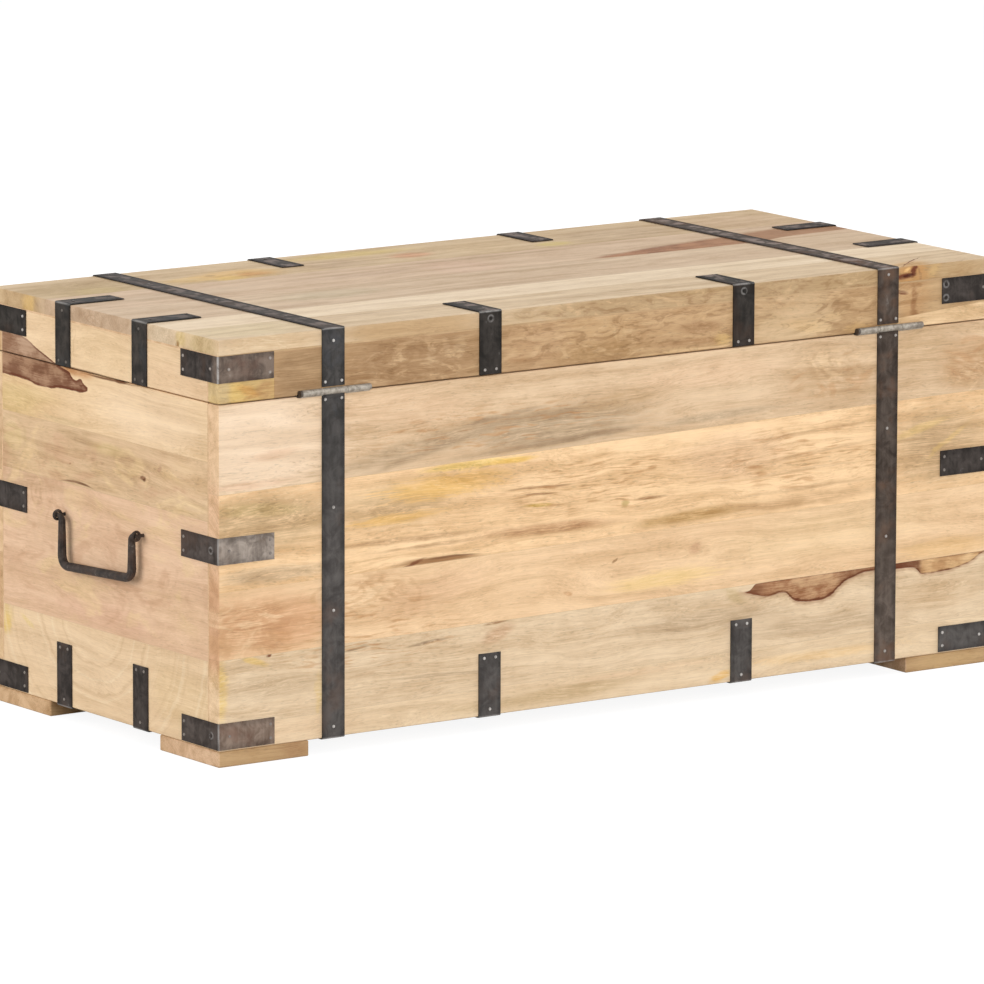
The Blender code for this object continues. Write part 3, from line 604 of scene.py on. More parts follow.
HINGE_WALL_BOARDS = (
    Board(0.0, 0.0, (240, 214, 178), 0.7, (
        (90, 28, 76, 12, 0, CREAM, 0.6),
        (300, 24, 60, 6, 0, (226, 200, 160), 0.6),
        (395, 27, 76, 8, 2, (212, 184, 142), 0.8),
        (480, 37, 95, 3.0, 1, CREAM, 0.9),
        (575, 22, 13, 5, 20, GOLD, 1.0),
        (700, 30, 90, 5, 0, GOLD, 0.4, 2.6),
    )),
    Board(37.6, 0.0115, (234, 208, 173), 0.95, (
        (2, 72, 9, 30, 0, YELLOW, 0.8),
        (111, 58, 4, 22, 0, YELLOW, 0.45),
        (40, 96, 16, 3, -18, YELLOW, 0.8),
        (60, 70, 60, 14, 0, (214, 188, 154), 0.7),
        (55, 100, 3.2, 1.5, 20, RED_BROWN, 0.95, 0.4),
        (170, 82, 40, 16, 0, (226, 200, 166), 0.6),
        (154, 95, 13, 1.2, 6, GREY_BROWN, 0.9),
        (235, 93, 28, 1.5, 3, GREY_BROWN, 0.8),
        (250, 60, 60, 1.6, -2, GREY_TAN, 0.8),
        (314, 92, 20, 7, 20, (200, 152, 114), 0.6),
        (312, 103, 16, 1.6, 4, BROWN, 0.9),
        (420, 80, 100, 18, 0, (236, 210, 175), 0.6),
        (592, 99, 16, 6, -30, OLIVE_TAN, 0.5, 2.4),
        (560, 78, 100, 10, 0, GREY_TAN, 0.6),
        (690, 60, 100, 10, 0, GREY_TAN, 0.5),
        (840, 75, 60, 16, 0, (220, 187, 146), 0.5),
    )),
    Board(100.4, 0.0118, (245, 209, 166), 0.75, (
        (42, 130, 74, 32, 0, (215, 166, 124), 1.0),
        (22, 122, 34, 24, 30, (232, 192, 150), 0.5, 1.2, 3),
        (92, 128, 30, 24, 0, (220, 170, 128), 0.7),
        (142, 148, 52, 16, 0, (210, 164, 116), 0.5, 1.0, 3),
        (205, 150, 44, 12, -24, (222, 178, 134), 0.45, 1.2, 2),
        (240, 140, 66, 18, 12, PINK_TAN, 0.35),
        (510, 124, 66, 9, 2, YELLOW, 0.5, 2.6),
        (545, 150, 7, 6, 0, PINK_TAN, 0.8),
        (450, 148, 3.4, 1.4, 40, BROWN, 0.8, 0.4),
        (395, 122, 6, 2.0, -10, ORANGE_TAN, 1.0),
        (700, 150, 140, 26, 2, (243, 210, 165), 0.8),
        (850, 120, 60, 10, 0, GOLD, 0.35, 2.6),
    )),
    Board(163.8, 0.0163, (249, 211, 164), 1.15, (
        (55, 225, 80, 28, 0, (208, 177, 136), 1.0),
        (45, 238, 50, 7, -4, OLIVE_TAN, 0.7),
        (60, 176, 66, 8, 0, GREY_TAN, 0.7),
        (195, 228, 70, 22, 0, (214, 182, 140), 0.8),
        (255, 240, 72, 12, 2, GOLD, 0.85, 2.8),
        (285, 257, 58, 4, 1, YELLOW, 1.0, 2.0),
        (330, 256, 28, 3, 1, (236, 190, 98), 0.9),
        (195, 214, 58, 5, 2, GOLD, 0.8, 2.8),
        (215, 193, 95, 3, 0, BROWN, 0.6, 2.6),
        (235, 185, 70, 2, 1, BROWN, 0.6, 2.6),
        (366, 227.5, 36, 1.4, -1, BROWN, 1.0),
        (362, 220.5, 22, 1.4, -2, BROWN, 1.0),
        (362, 210.5, 17, 1.8, -2, (212, 174, 96), 1.0),
        (492, 204.5, 20, 1.8, 0, BROWN, 1.0),
        (462, 202, 4, 3.6, 0, (206, 176, 120), 0.9, 0.4),
        (372, 187, 85, 5.5, 0, (196, 150, 108), 0.95, 2.0),
        (545, 182, 66, 6.5, 2, (196, 156, 102), 1.0, 2.0),
        (590, 235, 70, 24, 0, PALE_PEACH, 0.6),
        (690, 250, 80, 2.2, 3, BROWN, 0.4, 2.6),
        (690, 230, 74, 2.2, 4, BROWN, 0.4, 2.6),
        (660, 213, 60, 2.0, 2, BROWN, 0.35, 2.6),
        (680, 196, 78, 2.2, 1, BROWN, 0.4, 2.6),
        (672, 184, 90, 6.5, 1, (206, 166, 122), 0.9, 2.0),
        (840, 222, 66, 40, 0, (212, 180, 140), 1.0),
        (815, 240, 34, 4, 12, YELLOW, 0.45, 2.4),
        (848, 225, 30, 3, 32, YELLOW, 0.4, 2.4),
        (247, 170.6, 50, 3.4, 0, BROWN, 1.0, 0.6, 0, 0.0005),
        (215, 168.5, 16, 1.8, 18, RED_BROWN, 0.75, 0.6),
        (262, 172.4, 30, 1.2, 0, DARK_BROWN, 0.7, 0.6, 0, 0.0008),
    )),
    Board(255.6, 0.0180, (227, 196, 159), 0.95, (
        (45, 302, 95, 54, 0, (252, 226, 196), 1.0),
        (62, 288, 26, 5, 4, PINK_TAN, 0.5, 2.4),
        (30, 262, 60, 4, 1, PINK_TAN, 0.5, 2.4),
        (205, 318, 85, 18, -4, PALE_PEACH, 0.5),
        (240, 281, 115, 11, 9, GREY_TAN, 0.9),
        (225, 272, 95, 3.5, 13, GREY_BROWN, 0.4, 2.6),
        (382, 284, 105, 20, 2, (192, 167, 136), 1.0),
        (322, 300, 44, 2.4, 7, GREY_BROWN, 0.5, 2.6),
        (350, 268, 90, 3.0, 3, GREY_BROWN, 0.45, 2.6),
        (430, 272, 60, 3, 4, GREY_BROWN, 0.6, 2.4),
        (455, 302, 50, 8, 6, TAN, 0.6),
        (560, 318, 90, 14, 0, PALE_PEACH, 0.6),
        (570, 276, 75, 4.5, 2, GREY_TAN, 0.9),
        (705, 300, 54, 26, -14, (212, 178, 138), 0.7),
        (712, 306, 46, 24, -20, (196, 158, 116), 0.35, 1.6, 3),
        (815, 320, 36, 24, 0, TAN, 0.5),
        (872, 298, 36, 26, -8, (204, 163, 120), 0.8),
    )),
)

LID_RAIL_BOARDS = (Board(0.0, 0.0, (190, 155, 115), 1.1, (
    (92, 362, 40, 30, 0, (172, 140, 104), 1.0),
    (215, 362, 90, 30, 0, (176, 141, 104), 1.0),
    (238, 366, 5, 9, -20, (212, 180, 142), 0.5, 2.8),
    (257, 372, 4, 9, 12, (210, 178, 140), 0.5, 2.8),
    (272, 371, 7, 9, -10, (212, 182, 144), 0.5, 2.8),
    (360, 362, 50, 30, 0, (208, 172, 132), 1.0),
    (432, 372, 50, 22, 0, (214, 178, 134), 0.9),
    (440, 350, 70, 10, 0, (188, 152, 108), 0.8),
    (350, 352, 40, 4, 0, BROWN, 0.6, 2.4),
    (451, 365, 1.6, 8, 14, (226, 196, 152), 0.45, 1.2),
    (460, 367, 1.4, 6, 8, (226, 196, 152), 0.4, 1.2),
    (468, 363, 1.8, 8, 12, (226, 196, 152), 0.45, 1.2),
    (479, 362, 1.4, 5, 6, (226, 196, 152), 0.35, 1.2),
    (535, 364, 70, 30, 0, (210, 174, 132), 1.0),
    (548, 364, 26, 7, 0, (176, 138, 100), 0.8, 2.0),
    (540, 350, 44, 3, 0, BROWN, 0.6, 2.2),
    (577, 349, 12, 6, 0, (220, 184, 122), 0.7, 2.2),
    (530, 342.4, 64, 1.6, 0, (226, 192, 146), 0.9),
    (660, 362, 60, 34, 0, (219, 189, 149), 1.0),
    (735, 362, 34, 34, 0, (198, 163, 121), 0.9),
    (675, 352, 32, 6, -10, (232, 198, 150), 0.7, 2.2),
    (700, 358, 30, 4, 16, (226, 194, 148), 0.6, 2.2),
    (738, 346, 16, 5, 0, (226, 184, 118), 0.4, 2.8),
    (640, 376, 34, 6, 0, BROWN, 0.3, 2.4),
    (842, 368, 62, 26, 0, (206, 172, 130), 1.0),
    (804, 370, 22, 30, 0, (202, 160, 114), 0.8, 2.0),
    (806, 368, 4, 16, 3, (156, 110, 72), 0.75, 2.2),
    (806, 353, 7, 5, 0, (150, 106, 68), 0.7, 2.4),
    (791, 376, 7, 1.9, -10, RED_BROWN, 1.0, 0.8),
    (812, 381, 4, 2.0, 0, BROWN, 0.7, 1.0),
)),)

LEFT_END_BOARDS = (
    Board(0.0, 0.0, (239, 209, 170), 0.55, (
        (20, 84, 14, 16, 0, (226, 196, 132), 0.9),
        (22, 78, 9, 10, 0, YELLOW, 0.8),
        (60, 86, 14, 3, -24, (236, 208, 140), 0.7),
        (150, 60, 100, 30, 0, (238, 210, 174), 0.5),
        (330, 55, 60, 30, 0, (228, 198, 152), 0.6),
    )),
    Board(97.0, 0.002, (233, 196, 162), 0.65, (
        (60, 222, 70, 10, 0, (204, 168, 132), 0.8),
        (78, 214, 16, 20, 0, (200, 160, 124), 0.5, 1.4, 2),
        (200, 216, 60, 8, 0, (214, 176, 136), 0.5, 2.4),
        (280, 205, 70, 10, 0, PALE_PEACH, 0.5),
        (100, 128, 120, 10, 0, (221, 183, 146), 0.5, 2.2),
        (200, 112, 90, 14, 0, (224, 180, 150), 0.6),
        (195, 127, 70, 22, 0, (208, 166, 132), 0.35, 1.4, 3),
        (330, 130, 60, 26, 0, (226, 190, 150), 0.5),
        (378, 103, 3.5, 2.0, 0, (190, 150, 90), 0.8, 0.5),
        (110, 175, 80, 18, 0, (234, 199, 164), 0.4),
    )),
    Board(230.0, -0.004, (219, 186, 147), 0.95, (
        (34, 262, 34, 24, 0, (202, 173, 128), 0.5, 1.4, 3),
        (36, 262, 20, 14, 0, (232, 206, 152), 0.6),
        (160, 274, 30, 4, -3, (186, 152, 114), 0.8, 2.2),
        (150, 280, 34, 2.5, 4, (184, 150, 110), 0.6, 2.2),
        (205, 272, 34, 6, 0, (214, 188, 130), 0.6),
        (240, 262, 34, 18, 0, (202, 166, 126), 0.6),
        (258, 254, 20, 15, -8, (190, 150, 112), 0.4, 1.4, 2),
        (261, 253, 9, 6.5, 0, (232, 198, 156), 0.7, 1.0),
        (262.5, 253, 3.6, 2.4, 0, DARK_BROWN, 1.0, 0.4),
        (292, 266, 4.5, 2.2, 20, (196, 152, 126), 0.8, 0.5),
        (336, 262, 50, 20, 0, (232, 198, 156), 0.6),
        (136, 249, 2.5, 1.2, 10, BROWN, 0.9, 0.4),
        (148, 233.6, 29, 1.3, 0, DARK_BROWN, 0.95, 0.5, 0, 0.0035),
        (90, 238, 60, 9, 0, (232, 200, 158), 0.6),
    )),
    Board(284.4, 0.0, (238, 206, 164), 0.7, (
        (40, 304, 90, 30, 0, (230, 195, 148), 0.85),
        (25, 296, 60, 16, 0, (223, 194, 138), 0.8),
        (60, 306, 60, 8, 0, (232, 204, 152), 0.6),
        (120, 288, 40, 3, 0, (206, 180, 136), 0.5, 2.4),
        (280, 312, 100, 30, 0, (244, 215, 179), 0.8),
        (200, 338.5, 50, 1.0, 0, DARK_BROWN, 0.9, 1.0),
        (225, 338.6, 8, 1.8, 0, DARK_BROWN, 1.0, 1.0),
        (147, 339, 30, 6.0, -4, (204, 150, 102), 0.95, 1.4),
    )),
)


def growth_arcs(g, grain, tint):
    """Flat arcs of growth rings across the left end's bottom board."""
    u, v, streak, cloud, _ = grain
    radius = g.length(g.combine(u - 176.0, (v - 106.0) * 1.25)) + cloud * 14.0 + streak * 4.0
    rings = g.noise(g.combine(radius * (1 / 8.5), 0.0), 2.0) - 0.5
    shown = g.ease(v, 98.0, 96.4) * g.ease(radius, 26, 60)
    pale = g.mix(g.ease(rings, 0.02, 0.22) * shown * 0.55, tint, (248, 226, 192))
    return g.mix(g.ease(rings, -0.02, -0.2) * shown * 0.5, pale, (212, 178, 138))


LID_LEFT_RAIL_BOARDS = (Board(0.0, 0.0, (239, 208, 168), 0.6, (
    (190, 360, 60, 26, 0, (236, 206, 162), 0.5),
    (330, 352, 60, 20, 0, (242, 208, 170), 0.6),
    (145, 365, 1.0, 16, 0, TAN, 0.4, 0.4),
    (150, 340.6, 50, 1.2, 0, DARK_BROWN, 0.6, 1.0),
)),)

LID_TOP_BOARDS = (
    Board(0.0, 0.0, (231, 206, 172), 0.75, (
        (60, 40, 70, 40, 0, (230, 210, 171), 0.8),
        (250, 55, 160, 5, 0, (200, 172, 142), 0.5, 2.4),
        (500, 30, 160, 12, 0, (204, 176, 142), 0.5, 2.4),
        (808, 10, 28, 16, 20, (212, 168, 112), 0.85, 2.0),
        (818, 24, 34, 0.9, 38, RED_BROWN, 0.9, 0.5, 0, 0.004),
        (806, 12, 20, 0.7, 30, BROWN, 0.9, 0.5),
    )),
    Board(66.0, 0.002, (247, 225, 194), 0.6, (
        (300, 96, 160, 14, 0, (250, 228, 199), 0.6),
        (560, 82, 150, 24, 0, (236, 213, 182), 0.5),
        (700, 100, 90, 6, 0, (214, 188, 152), 0.6, 2.4),
    )),
    Board(117.0, 0.004, (222, 196, 166), 0.7, (
        (175, 133, 44, 9, 0, (194, 164, 134), 0.7),
        (400, 128, 80, 6, 0, (196, 168, 138), 0.6, 2.4),
        (240, 170, 60, 24, 0, (204, 188, 156), 0.6),
        (600, 150, 200, 20, 0, (218, 190, 160), 0.5, 2.2),
        (500, 190, 120, 5, 0, (196, 166, 134), 0.6, 2.4),
    )),
    Board(208.0, 0.0, (220, 192, 162), 0.7, (
        (440, 240, 40, 50, 0, (228, 193, 168), 0.5),
        (330, 255, 80, 14, 0, (206, 177, 150), 0.6),
        (120, 250, 80, 20, 0, (200, 176, 146), 0.6, 2.2),
        (500, 280, 120, 5, 0, (190, 160, 128), 0.6, 2.4),
    )),
    Board(296.0, -0.004, (216, 189, 152), 0.85, (
        (185, 318, 40, 16, 0, (224, 188, 124), 0.8, 2.0),
        (235, 322, 50, 26, 0, (228, 186, 118), 0.9, 2.0),
        (216, 305, 18, 12, 0, YELLOW, 0.7),
        (250, 318, 20, 10, 0, (222, 162, 102), 0.6),
        (206, 328, 6, 4, 0, BROWN, 0.8),
        (60, 325, 70, 50, 0, (192, 165, 122), 0.9),
        (70, 312, 26, 18, 0, (206, 182, 128), 0.6),
        (390, 366, 80, 16, 0, (216, 190, 122), 0.8),
        (442, 330, 26, 14, 0, (214, 158, 122), 0.8),
        (350, 320, 40, 26, 0, (198, 170, 142), 0.6),
        (600, 312, 20, 12, 0, (222, 200, 132), 0.9),
        (520, 340, 50, 30, 0, (218, 190, 150), 0.5),
        (690, 330, 70, 44, 0, (200, 173, 143), 0.7),
        (840, 330, 60, 40, 0, (212, 181, 151), 0.6),
    )),
)

# The lid panel's edge as it shows on the hinge side, with the knot right of the right strap
SLAB_EDGE_MARKS = (
    (600, 392, 330, 20, 0, (195, 165, 126), 1.0, 0.8),
    (60, 392, 60, 14, 0, (216, 184, 144), 0.8),
    (215, 392, 90, 16, 0, (202, 169, 128), 1.0, 0.8),
    (230, 388, 60, 2.0, 2, (214, 182, 142), 0.6),
    (420, 396, 70, 4, 2, (184, 152, 112), 0.6, 2.2),
    (545, 393, 50, 8, 0, (206, 174, 134), 0.6, 2.2),
    (545, 397, 60, 2.0, 0, (178, 146, 102), 0.6),
    (730, 392, 60, 14, 0, (186, 155, 114), 0.9),
    (842, 392, 60, 14, 0, (188, 154, 110), 0.9),
    (830, 395, 9, 5, 50, (222, 186, 130), 0.6, 2.4),
    (800, 392, 26, 15, 0, (204, 158, 104), 0.9, 2.6),
    (802, 395, 20, 13, 0, (198, 148, 94), 0.7, 2.6),
    (793, 390.8, 14, 3.2, 4, RED_BROWN, 1.0, 0.4),
    (805, 394.6, 3.4, 6.4, -24, RED_BROWN, 1.0, 0.4),
    (809, 400.5, 3.0, 4.0, -10, RED_BROWN, 1.0, 0.4),
    (797, 391, 9, 1.6, 6, (78, 38, 26), 0.9, 0.3),
    (813, 391, 1.6, 8, 10, BROWN, 0.8, 1.2),
    (797, 397.5, 5, 1.6, 20, (240, 196, 130), 0.8, 1.0),
)

# And on the left end, where its boards show their end grain
SLAB_END_MARKS = (
    (30, 392, 34, 14, 0, (202, 172, 132), 0.9),
    (66, 392, 13, 12, 0, (226, 188, 120), 0.8),
    (96, 392, 14, 14, 0, (196, 168, 138), 0.8),
    (190, 392, 80, 14, 0, (192, 164, 136), 0.95),
    (180, 390, 22, 6, -10, (174, 140, 106), 0.5, 1.5, 2),
    (250, 393, 12, 5, 0, (214, 188, 156), 0.5, 2.0),
    (295, 392, 30, 14, 0, (206, 183, 152), 0.9),
    (327, 394, 9, 8, 0, (226, 200, 136), 0.8),
    (322, 387, 3, 4, 0, (160, 122, 72), 0.9, 1.0),
    (362, 392, 28, 14, 0, (202, 176, 130), 0.9),
)

# End grain of the hinge-side wall and rail at the left corner, and of the feet
CORNER_END_MARKS = (
    (381, 320, 40, 70, 0, (232, 196, 156), 1.0, 0.5),
    (381, 215, 40, 50, 0, (230, 190, 152), 1.0, 0.5),
    (381, 130, 40, 56, 0, (218, 172, 134), 1.0, 0.5),
    (381, 45, 40, 44, 0, (236, 204, 164), 1.0, 0.5),
)
FOOT_END_MARKS = (
    (345, 8, 60, 16, 0, (222, 186, 150), 1.0, 0.5),
    (45, 8, 60, 16, 0, (214, 178, 138), 1.0, 0.5),
)
CORNER_LAYERS = (Layer(END_SIDE, CORNER_END_MARKS, 0, -1),)
FOOT_LAYERS = (Layer(END_SIDE, FOOT_END_MARKS, 0, -1),)

# The sides that the photograph doesn't show: boards of the same stock, in another order
OPENING_WALL_BOARDS = (
    Board(0.0, 0.0, (234, 204, 164), 0.8, (
        (830, 50, 60, 12, 0, PINK_TAN, 0.6),
        (60, 50, 50, 16, 0, YELLOW, 0.4, 2.4),
    )),
    Board(72.0, 0.006, (224, 189, 149), 1.0, (
        (560, 110, 90, 22, 0, ORANGE_TAN, 0.6),
        (240, 116, 50, 22, 0, (202, 160, 118), 0.45, 1.4, 4),
        (242, 117, 5, 3, 0, DARK_BROWN, 0.9, 0.5),
        (760, 130, 80, 3, 3, BROWN, 0.6, 2.4),
    )),
    Board(146.0, -0.008, (238, 206, 166), 0.8, (
        (420, 200, 130, 5, 1, BROWN, 0.5, 2.4),
        (300, 205, 60, 2, 2, BROWN, 0.7, 2.0),
        (760, 170, 80, 3, 3, RED_BROWN, 0.4, 2.4),
    )),
    Board(226.0, 0.010, (216, 184, 146), 1.1, (
        (640, 250, 150, 14, -2, GOLD, 0.7, 2.6),
        (700, 262, 70, 4, -2, YELLOW, 0.7, 2.4),
        (150, 258, 90, 12, 2, (200, 162, 120), 0.7, 2.0),
    )),
    Board(289.0, -0.003, (240, 211, 174), 0.8, (
        (120, 305, 110, 22, 3, GREY_TAN, 0.7),
        (520, 320, 100, 5, -2, GREY_BROWN, 0.5, 2.4),
    )),
)

RIGHT_END_BOARDS = (
    Board(0.0, 0.0, (226, 194, 152), 0.9, (
        (60, 40, 50, 18, 0, GOLD, 0.4, 2.4),
    )),
    Board(92.0, -0.004, (239, 207, 168), 0.8, (
        (180, 120, 100, 22, 0, PINK_TAN, 0.5),
        (230, 150, 80, 3, -3, BROWN, 0.6, 2.4),
    )),
    Board(168.0, 0.006, (214, 182, 144), 1.0, (
        (80, 200, 70, 16, 4, GREY_TAN, 0.6),
        (300, 206, 36, 22, 0, (190, 154, 114), 0.5, 1.4, 4),
        (302, 206, 4, 2.6, 0, DARK_BROWN, 0.9, 0.4),
    )),
    Board(246.0, 0.0, (232, 199, 160), 0.8, (
        (140, 290, 120, 20, 0, CREAM, 0.6),
        (330, 268, 60, 4, 2, BROWN, 0.5, 2.4),
    )),
)

OPENING_RAIL_BOARDS = (Board(0.0, 0.0, (214, 180, 140), 1.0, (
    (160, 362, 120, 26, 0, (198, 164, 124), 0.7),
    (430, 366, 90, 22, 0, (228, 196, 156), 0.7),
    (700, 358, 120, 14, 2, GOLD, 0.4, 2.4),
)),)
RIGHT_RAIL_BOARDS = (Board(0.0, 0.0, (226, 192, 152), 0.9, (
    (120, 362, 80, 26, 0, (206, 172, 132), 0.7),
)),)

FOOT_BOARDS = (Board(0.0, 0.0, (186, 151, 110), 1.1, (
    (30, 8, 40, 10, 0, (202, 168, 124), 0.6),
    (86, 8, 14, 10, 0, (170, 130, 92), 0.7),
    (850, 8, 50, 10, 0, (206, 172, 124), 0.7),
)),)
INSIDE_BOARDS = (
    Board(0.0, 0.0, (226, 194, 154), 0.9),
    Board(128.0, 0.0, (234, 204, 164), 0.8),
    Board(262.0, 0.0, (220, 187, 146), 0.9),
)

SLAB_LAYERS = (
    Layer(LONG_SIDE, SLAB_EDGE_MARKS, 1, -1),
    Layer(END_SIDE, SLAB_END_MARKS, 0, -1),
)
WALL_CURLS = curls(
    46.0, 20.0, (244, 212, 170), (206, 160, 116), 0.5,
    ((30, 126, 60, 34), (166, 148, 44, 20), (708, 306, 62, 28), (882, 300, 44, 34)),
)
WALL_TICKS = ticks(
    30.0, 2.4, (206, 156, 108), 0.65,
    ((680, 226, 110, 36), (430, 224, 120, 30), (320, 290, 170, 22), (160, 110, 120, 40)),
)
END_CURLS = curls(
    90.0, 44.0, (240, 210, 160), (208, 164, 130), 0.5,
    ((60, 240, 150, 44), (250, 240, 130, 44), (170, 160, 240, 66)),
)
RAIL_CURLS = curls(
    34.0, 12.0, (220, 186, 144), (160, 124, 86), 0.55,
    ((225, 358, 90, 26), (460, 372, 180, 44), (700, 380, 110, 40)),
)
SLAB_CURLS = on_face(RAIL_CURLS, LONG_SIDE, 1, -1)
WALL_PATCH = patch(PATCH_FOOT, PATCH_TOP, 1.8, 4.0, PATCH_FILLS)
LID_PATCH = patch(PATCH_LID_FOOT, PATCH_LID_TOP, 0.0, 2.4, LID_PATCH_FILLS)

# The wooden nodes, but for the feet, with their panel, boards, seed, extras and layers
WOODS = {
    "hinge_side_wall": (
        LONG_SIDE, HINGE_WALL_BOARDS, 1.0, (WALL_CURLS, WALL_TICKS, heart_streak), CORNER_LAYERS,
    ),
    "opening_side_wall": (LONG_SIDE, OPENING_WALL_BOARDS, 5.0),
    "left_end_wall": (END_SIDE, LEFT_END_BOARDS, 9.0, (END_CURLS, growth_arcs, WALL_PATCH)),
    "right_end_wall": (END_SIDE, RIGHT_END_BOARDS, 12.0),
    "bottom_panel": (LID_TOP, INSIDE_BOARDS, 15.0),
    "lid_panel": (LID_TOP, LID_TOP_BOARDS, 19.0, (top_streak, SLAB_CURLS), SLAB_LAYERS),
    "lid_rail_hinge_side": (
        LONG_SIDE, LID_RAIL_BOARDS, 23.0, (RAIL_CURLS, lower_strip, short_piece),
    ),
    "lid_rail_opening_side": (LONG_SIDE, OPENING_RAIL_BOARDS, 27.0),
    "lid_rail_left_end": (END_SIDE, LID_LEFT_RAIL_BOARDS, 31.0, (LID_PATCH,)),
    "lid_rail_right_end": (END_SIDE, RIGHT_RAIL_BOARDS, 35.0),
}

for node_name, settings in WOODS.items():
    finish_node(node_name, wood(f"{node_name}_wood", *settings))
foot_wood = wood("foot_wood", LONG_SIDE, FOOT_BOARDS, 39.0, (), FOOT_LAYERS)
for node_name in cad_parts:
    if node_name.startswith("foot_"):
        finish_node(node_name, foot_wood)


# Glue lines: sawdust and glue that fill the woodwork's joints to just below the faces, round
# the lid between its panel and rails, and where the ends meet the long sides
WOOD_EASING = 0.0008
CORNER_CUT_SHARE = math.tan(math.pi / 8)
GLUE_LINE_DEPTH = 0.005
GLUE_LINE_RECESS = 0.00004
GLUE_LINE_CLEARANCE = 0.00002
GLUE_LINE_BOARDS = (Board(0.0, 0.0, (200, 167, 127), 0.9),)
GLUE_LINE_END_MARKS = ((190, 190, 900, 600, 0, (224, 188, 149), 1.0, 0.4),)


def joint_section(half_gap):
    """Outline of a filling: how far in from the face, and how far across from its middle."""
    narrow = half_gap - GLUE_LINE_CLEARANCE
    wide = half_gap + WOOD_EASING - GLUE_LINE_RECESS - GLUE_LINE_CLEARANCE * 2
    half = ((GLUE_LINE_RECESS, wide), (WOOD_EASING, narrow), (GLUE_LINE_DEPTH, narrow))
    return half + tuple((inset, -across) for inset, across in reversed(half))


def add_skin(work, rings, closed):
    """Joins rings of points into a skin. Closed rings go round, and others get end caps."""
    rings = [[work.verts.new(point) for point in ring] for ring in rings]
    pairs = list(zip(rings, rings[1:]))
    if closed:
        pairs.append((rings[-1], rings[0]))
    for ring, following in pairs:
        for number in range(len(ring)):
            after = (number + 1) % len(ring)
            work.faces.new((ring[number], ring[after], following[after], following[number]))
    if not closed:
        work.faces.new(rings[0])
        work.faces.new(rings[-1])


def add_level_line(work, lower_node, upper_node):
    """The line round the whole lid between its rails and its panel, with its corners cut."""
    low_z, high_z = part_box(lower_node)[1].z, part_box(upper_node)[0].z
    middle = (low_z + high_z) / 2
    rings = []
    for x, y, cut_first in (
        (-1, -1, False), (-1, -1, True), (1, -1, True), (1, -1, False),
        (1, 1, False), (1, 1, True), (-1, 1, True), (-1, 1, False),
    ):
        ring = []
        for inset, across in joint_section((high_z - low_z) / 2):
            cut = WOOD_EASING + inset * CORNER_CUT_SHARE
            off_x, off_y = (cut, inset) if cut_first else (inset, cut)
            place_x = RIGHT_X - off_x if x > 0 else LEFT_X + off_x
            place_y = OPENING_SIDE_Y - off_y if y > 0 else HINGE_SIDE_Y + off_y
            ring.append((place_x, place_y, middle + across))
        rings.append(ring)
    add_skin(work, rings, True)


def add_upright_lines(work, ends, hinge_side, opening_side):
    """The lines down the ends where they meet the long sides."""
    for end, sign in zip(ends, (1, -1)):
        low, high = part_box(end)
        face_x = low.x if sign > 0 else high.x
        heights = (low.z + WOOD_EASING, high.z - WOOD_EASING)
        for near, far in ((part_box(hinge_side)[1].y, low.y), (high.y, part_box(opening_side)[0].y)):
            section = joint_section((far - near) / 2)
            middle = (near + far) / 2
            add_skin(work, [
                [(face_x + inset * sign, middle + across, z) for inset, across in section]
                for z in heights
            ], False)


def finish_glue_lines(name, body, work, material):
    bmesh.ops.recalc_face_normals(work, faces=work.faces)
    lines = add_mesh(name, work, material)
    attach(lines, body)


def make_glue_lines():
    layers = (Layer(END_SIDE, GLUE_LINE_END_MARKS, 0, 0),)
    glue = wood("glue_line_wood", LONG_SIDE, GLUE_LINE_BOARDS, 43.0, (), layers)
    on_lid = bmesh.new()
    add_level_line(on_lid, "lid_rail_hinge_side", "lid_panel")
    rails = ("lid_rail_left_end", "lid_rail_right_end")
    add_upright_lines(on_lid, rails, "lid_rail_hinge_side", "lid_rail_opening_side")
    finish_glue_lines("lid_glue_lines", "lid", on_lid, glue)
    on_box = bmesh.new()
    ends = ("left_end_wall", "right_end_wall")
    add_upright_lines(on_box, ends, "hinge_side_wall", "opening_side_wall")
    finish_glue_lines("box_glue_lines", "box", on_box, glue)


make_glue_lines()


# Irons. Where a strip bends round a corner of the chest a painted highlight runs along the bend, in
# the tint of bare steel.
BEND_REACH = 0.0022


def outer_planes(g):
    """How far a point is beyond the irons' outer planes, along X, along Y and up or down."""
    x, y, z = g.separate(g.place())
    beyond_x = g.math("ABSOLUTE", x) - IRON_X
    beyond_y = g.math("ABSOLUTE", y) - IRON_Y
    beyond_z = g.math("MAXIMUM", z - IRON_TOP_Z, IRON_UNDER_Z - z)
    return beyond_x, beyond_y, beyond_z


def nail_head_share(g):
    """1 on the nail heads, which stand proud of the irons' outer planes."""
    return g.math("GREATER_THAN", g.highest(*outer_planes(g)), 0.0)


def bend_glint_share(g):
    """1 on the outer side of a bend, where two of the outer planes meet, for the painted highlight
    there.
    """
    near = [g.ease(beyond, -BEND_REACH, -BEND_REACH / 3) for beyond in outer_planes(g)]
    return g.highest(near[0] * near[1], near[1] * near[2], near[0] * near[2])
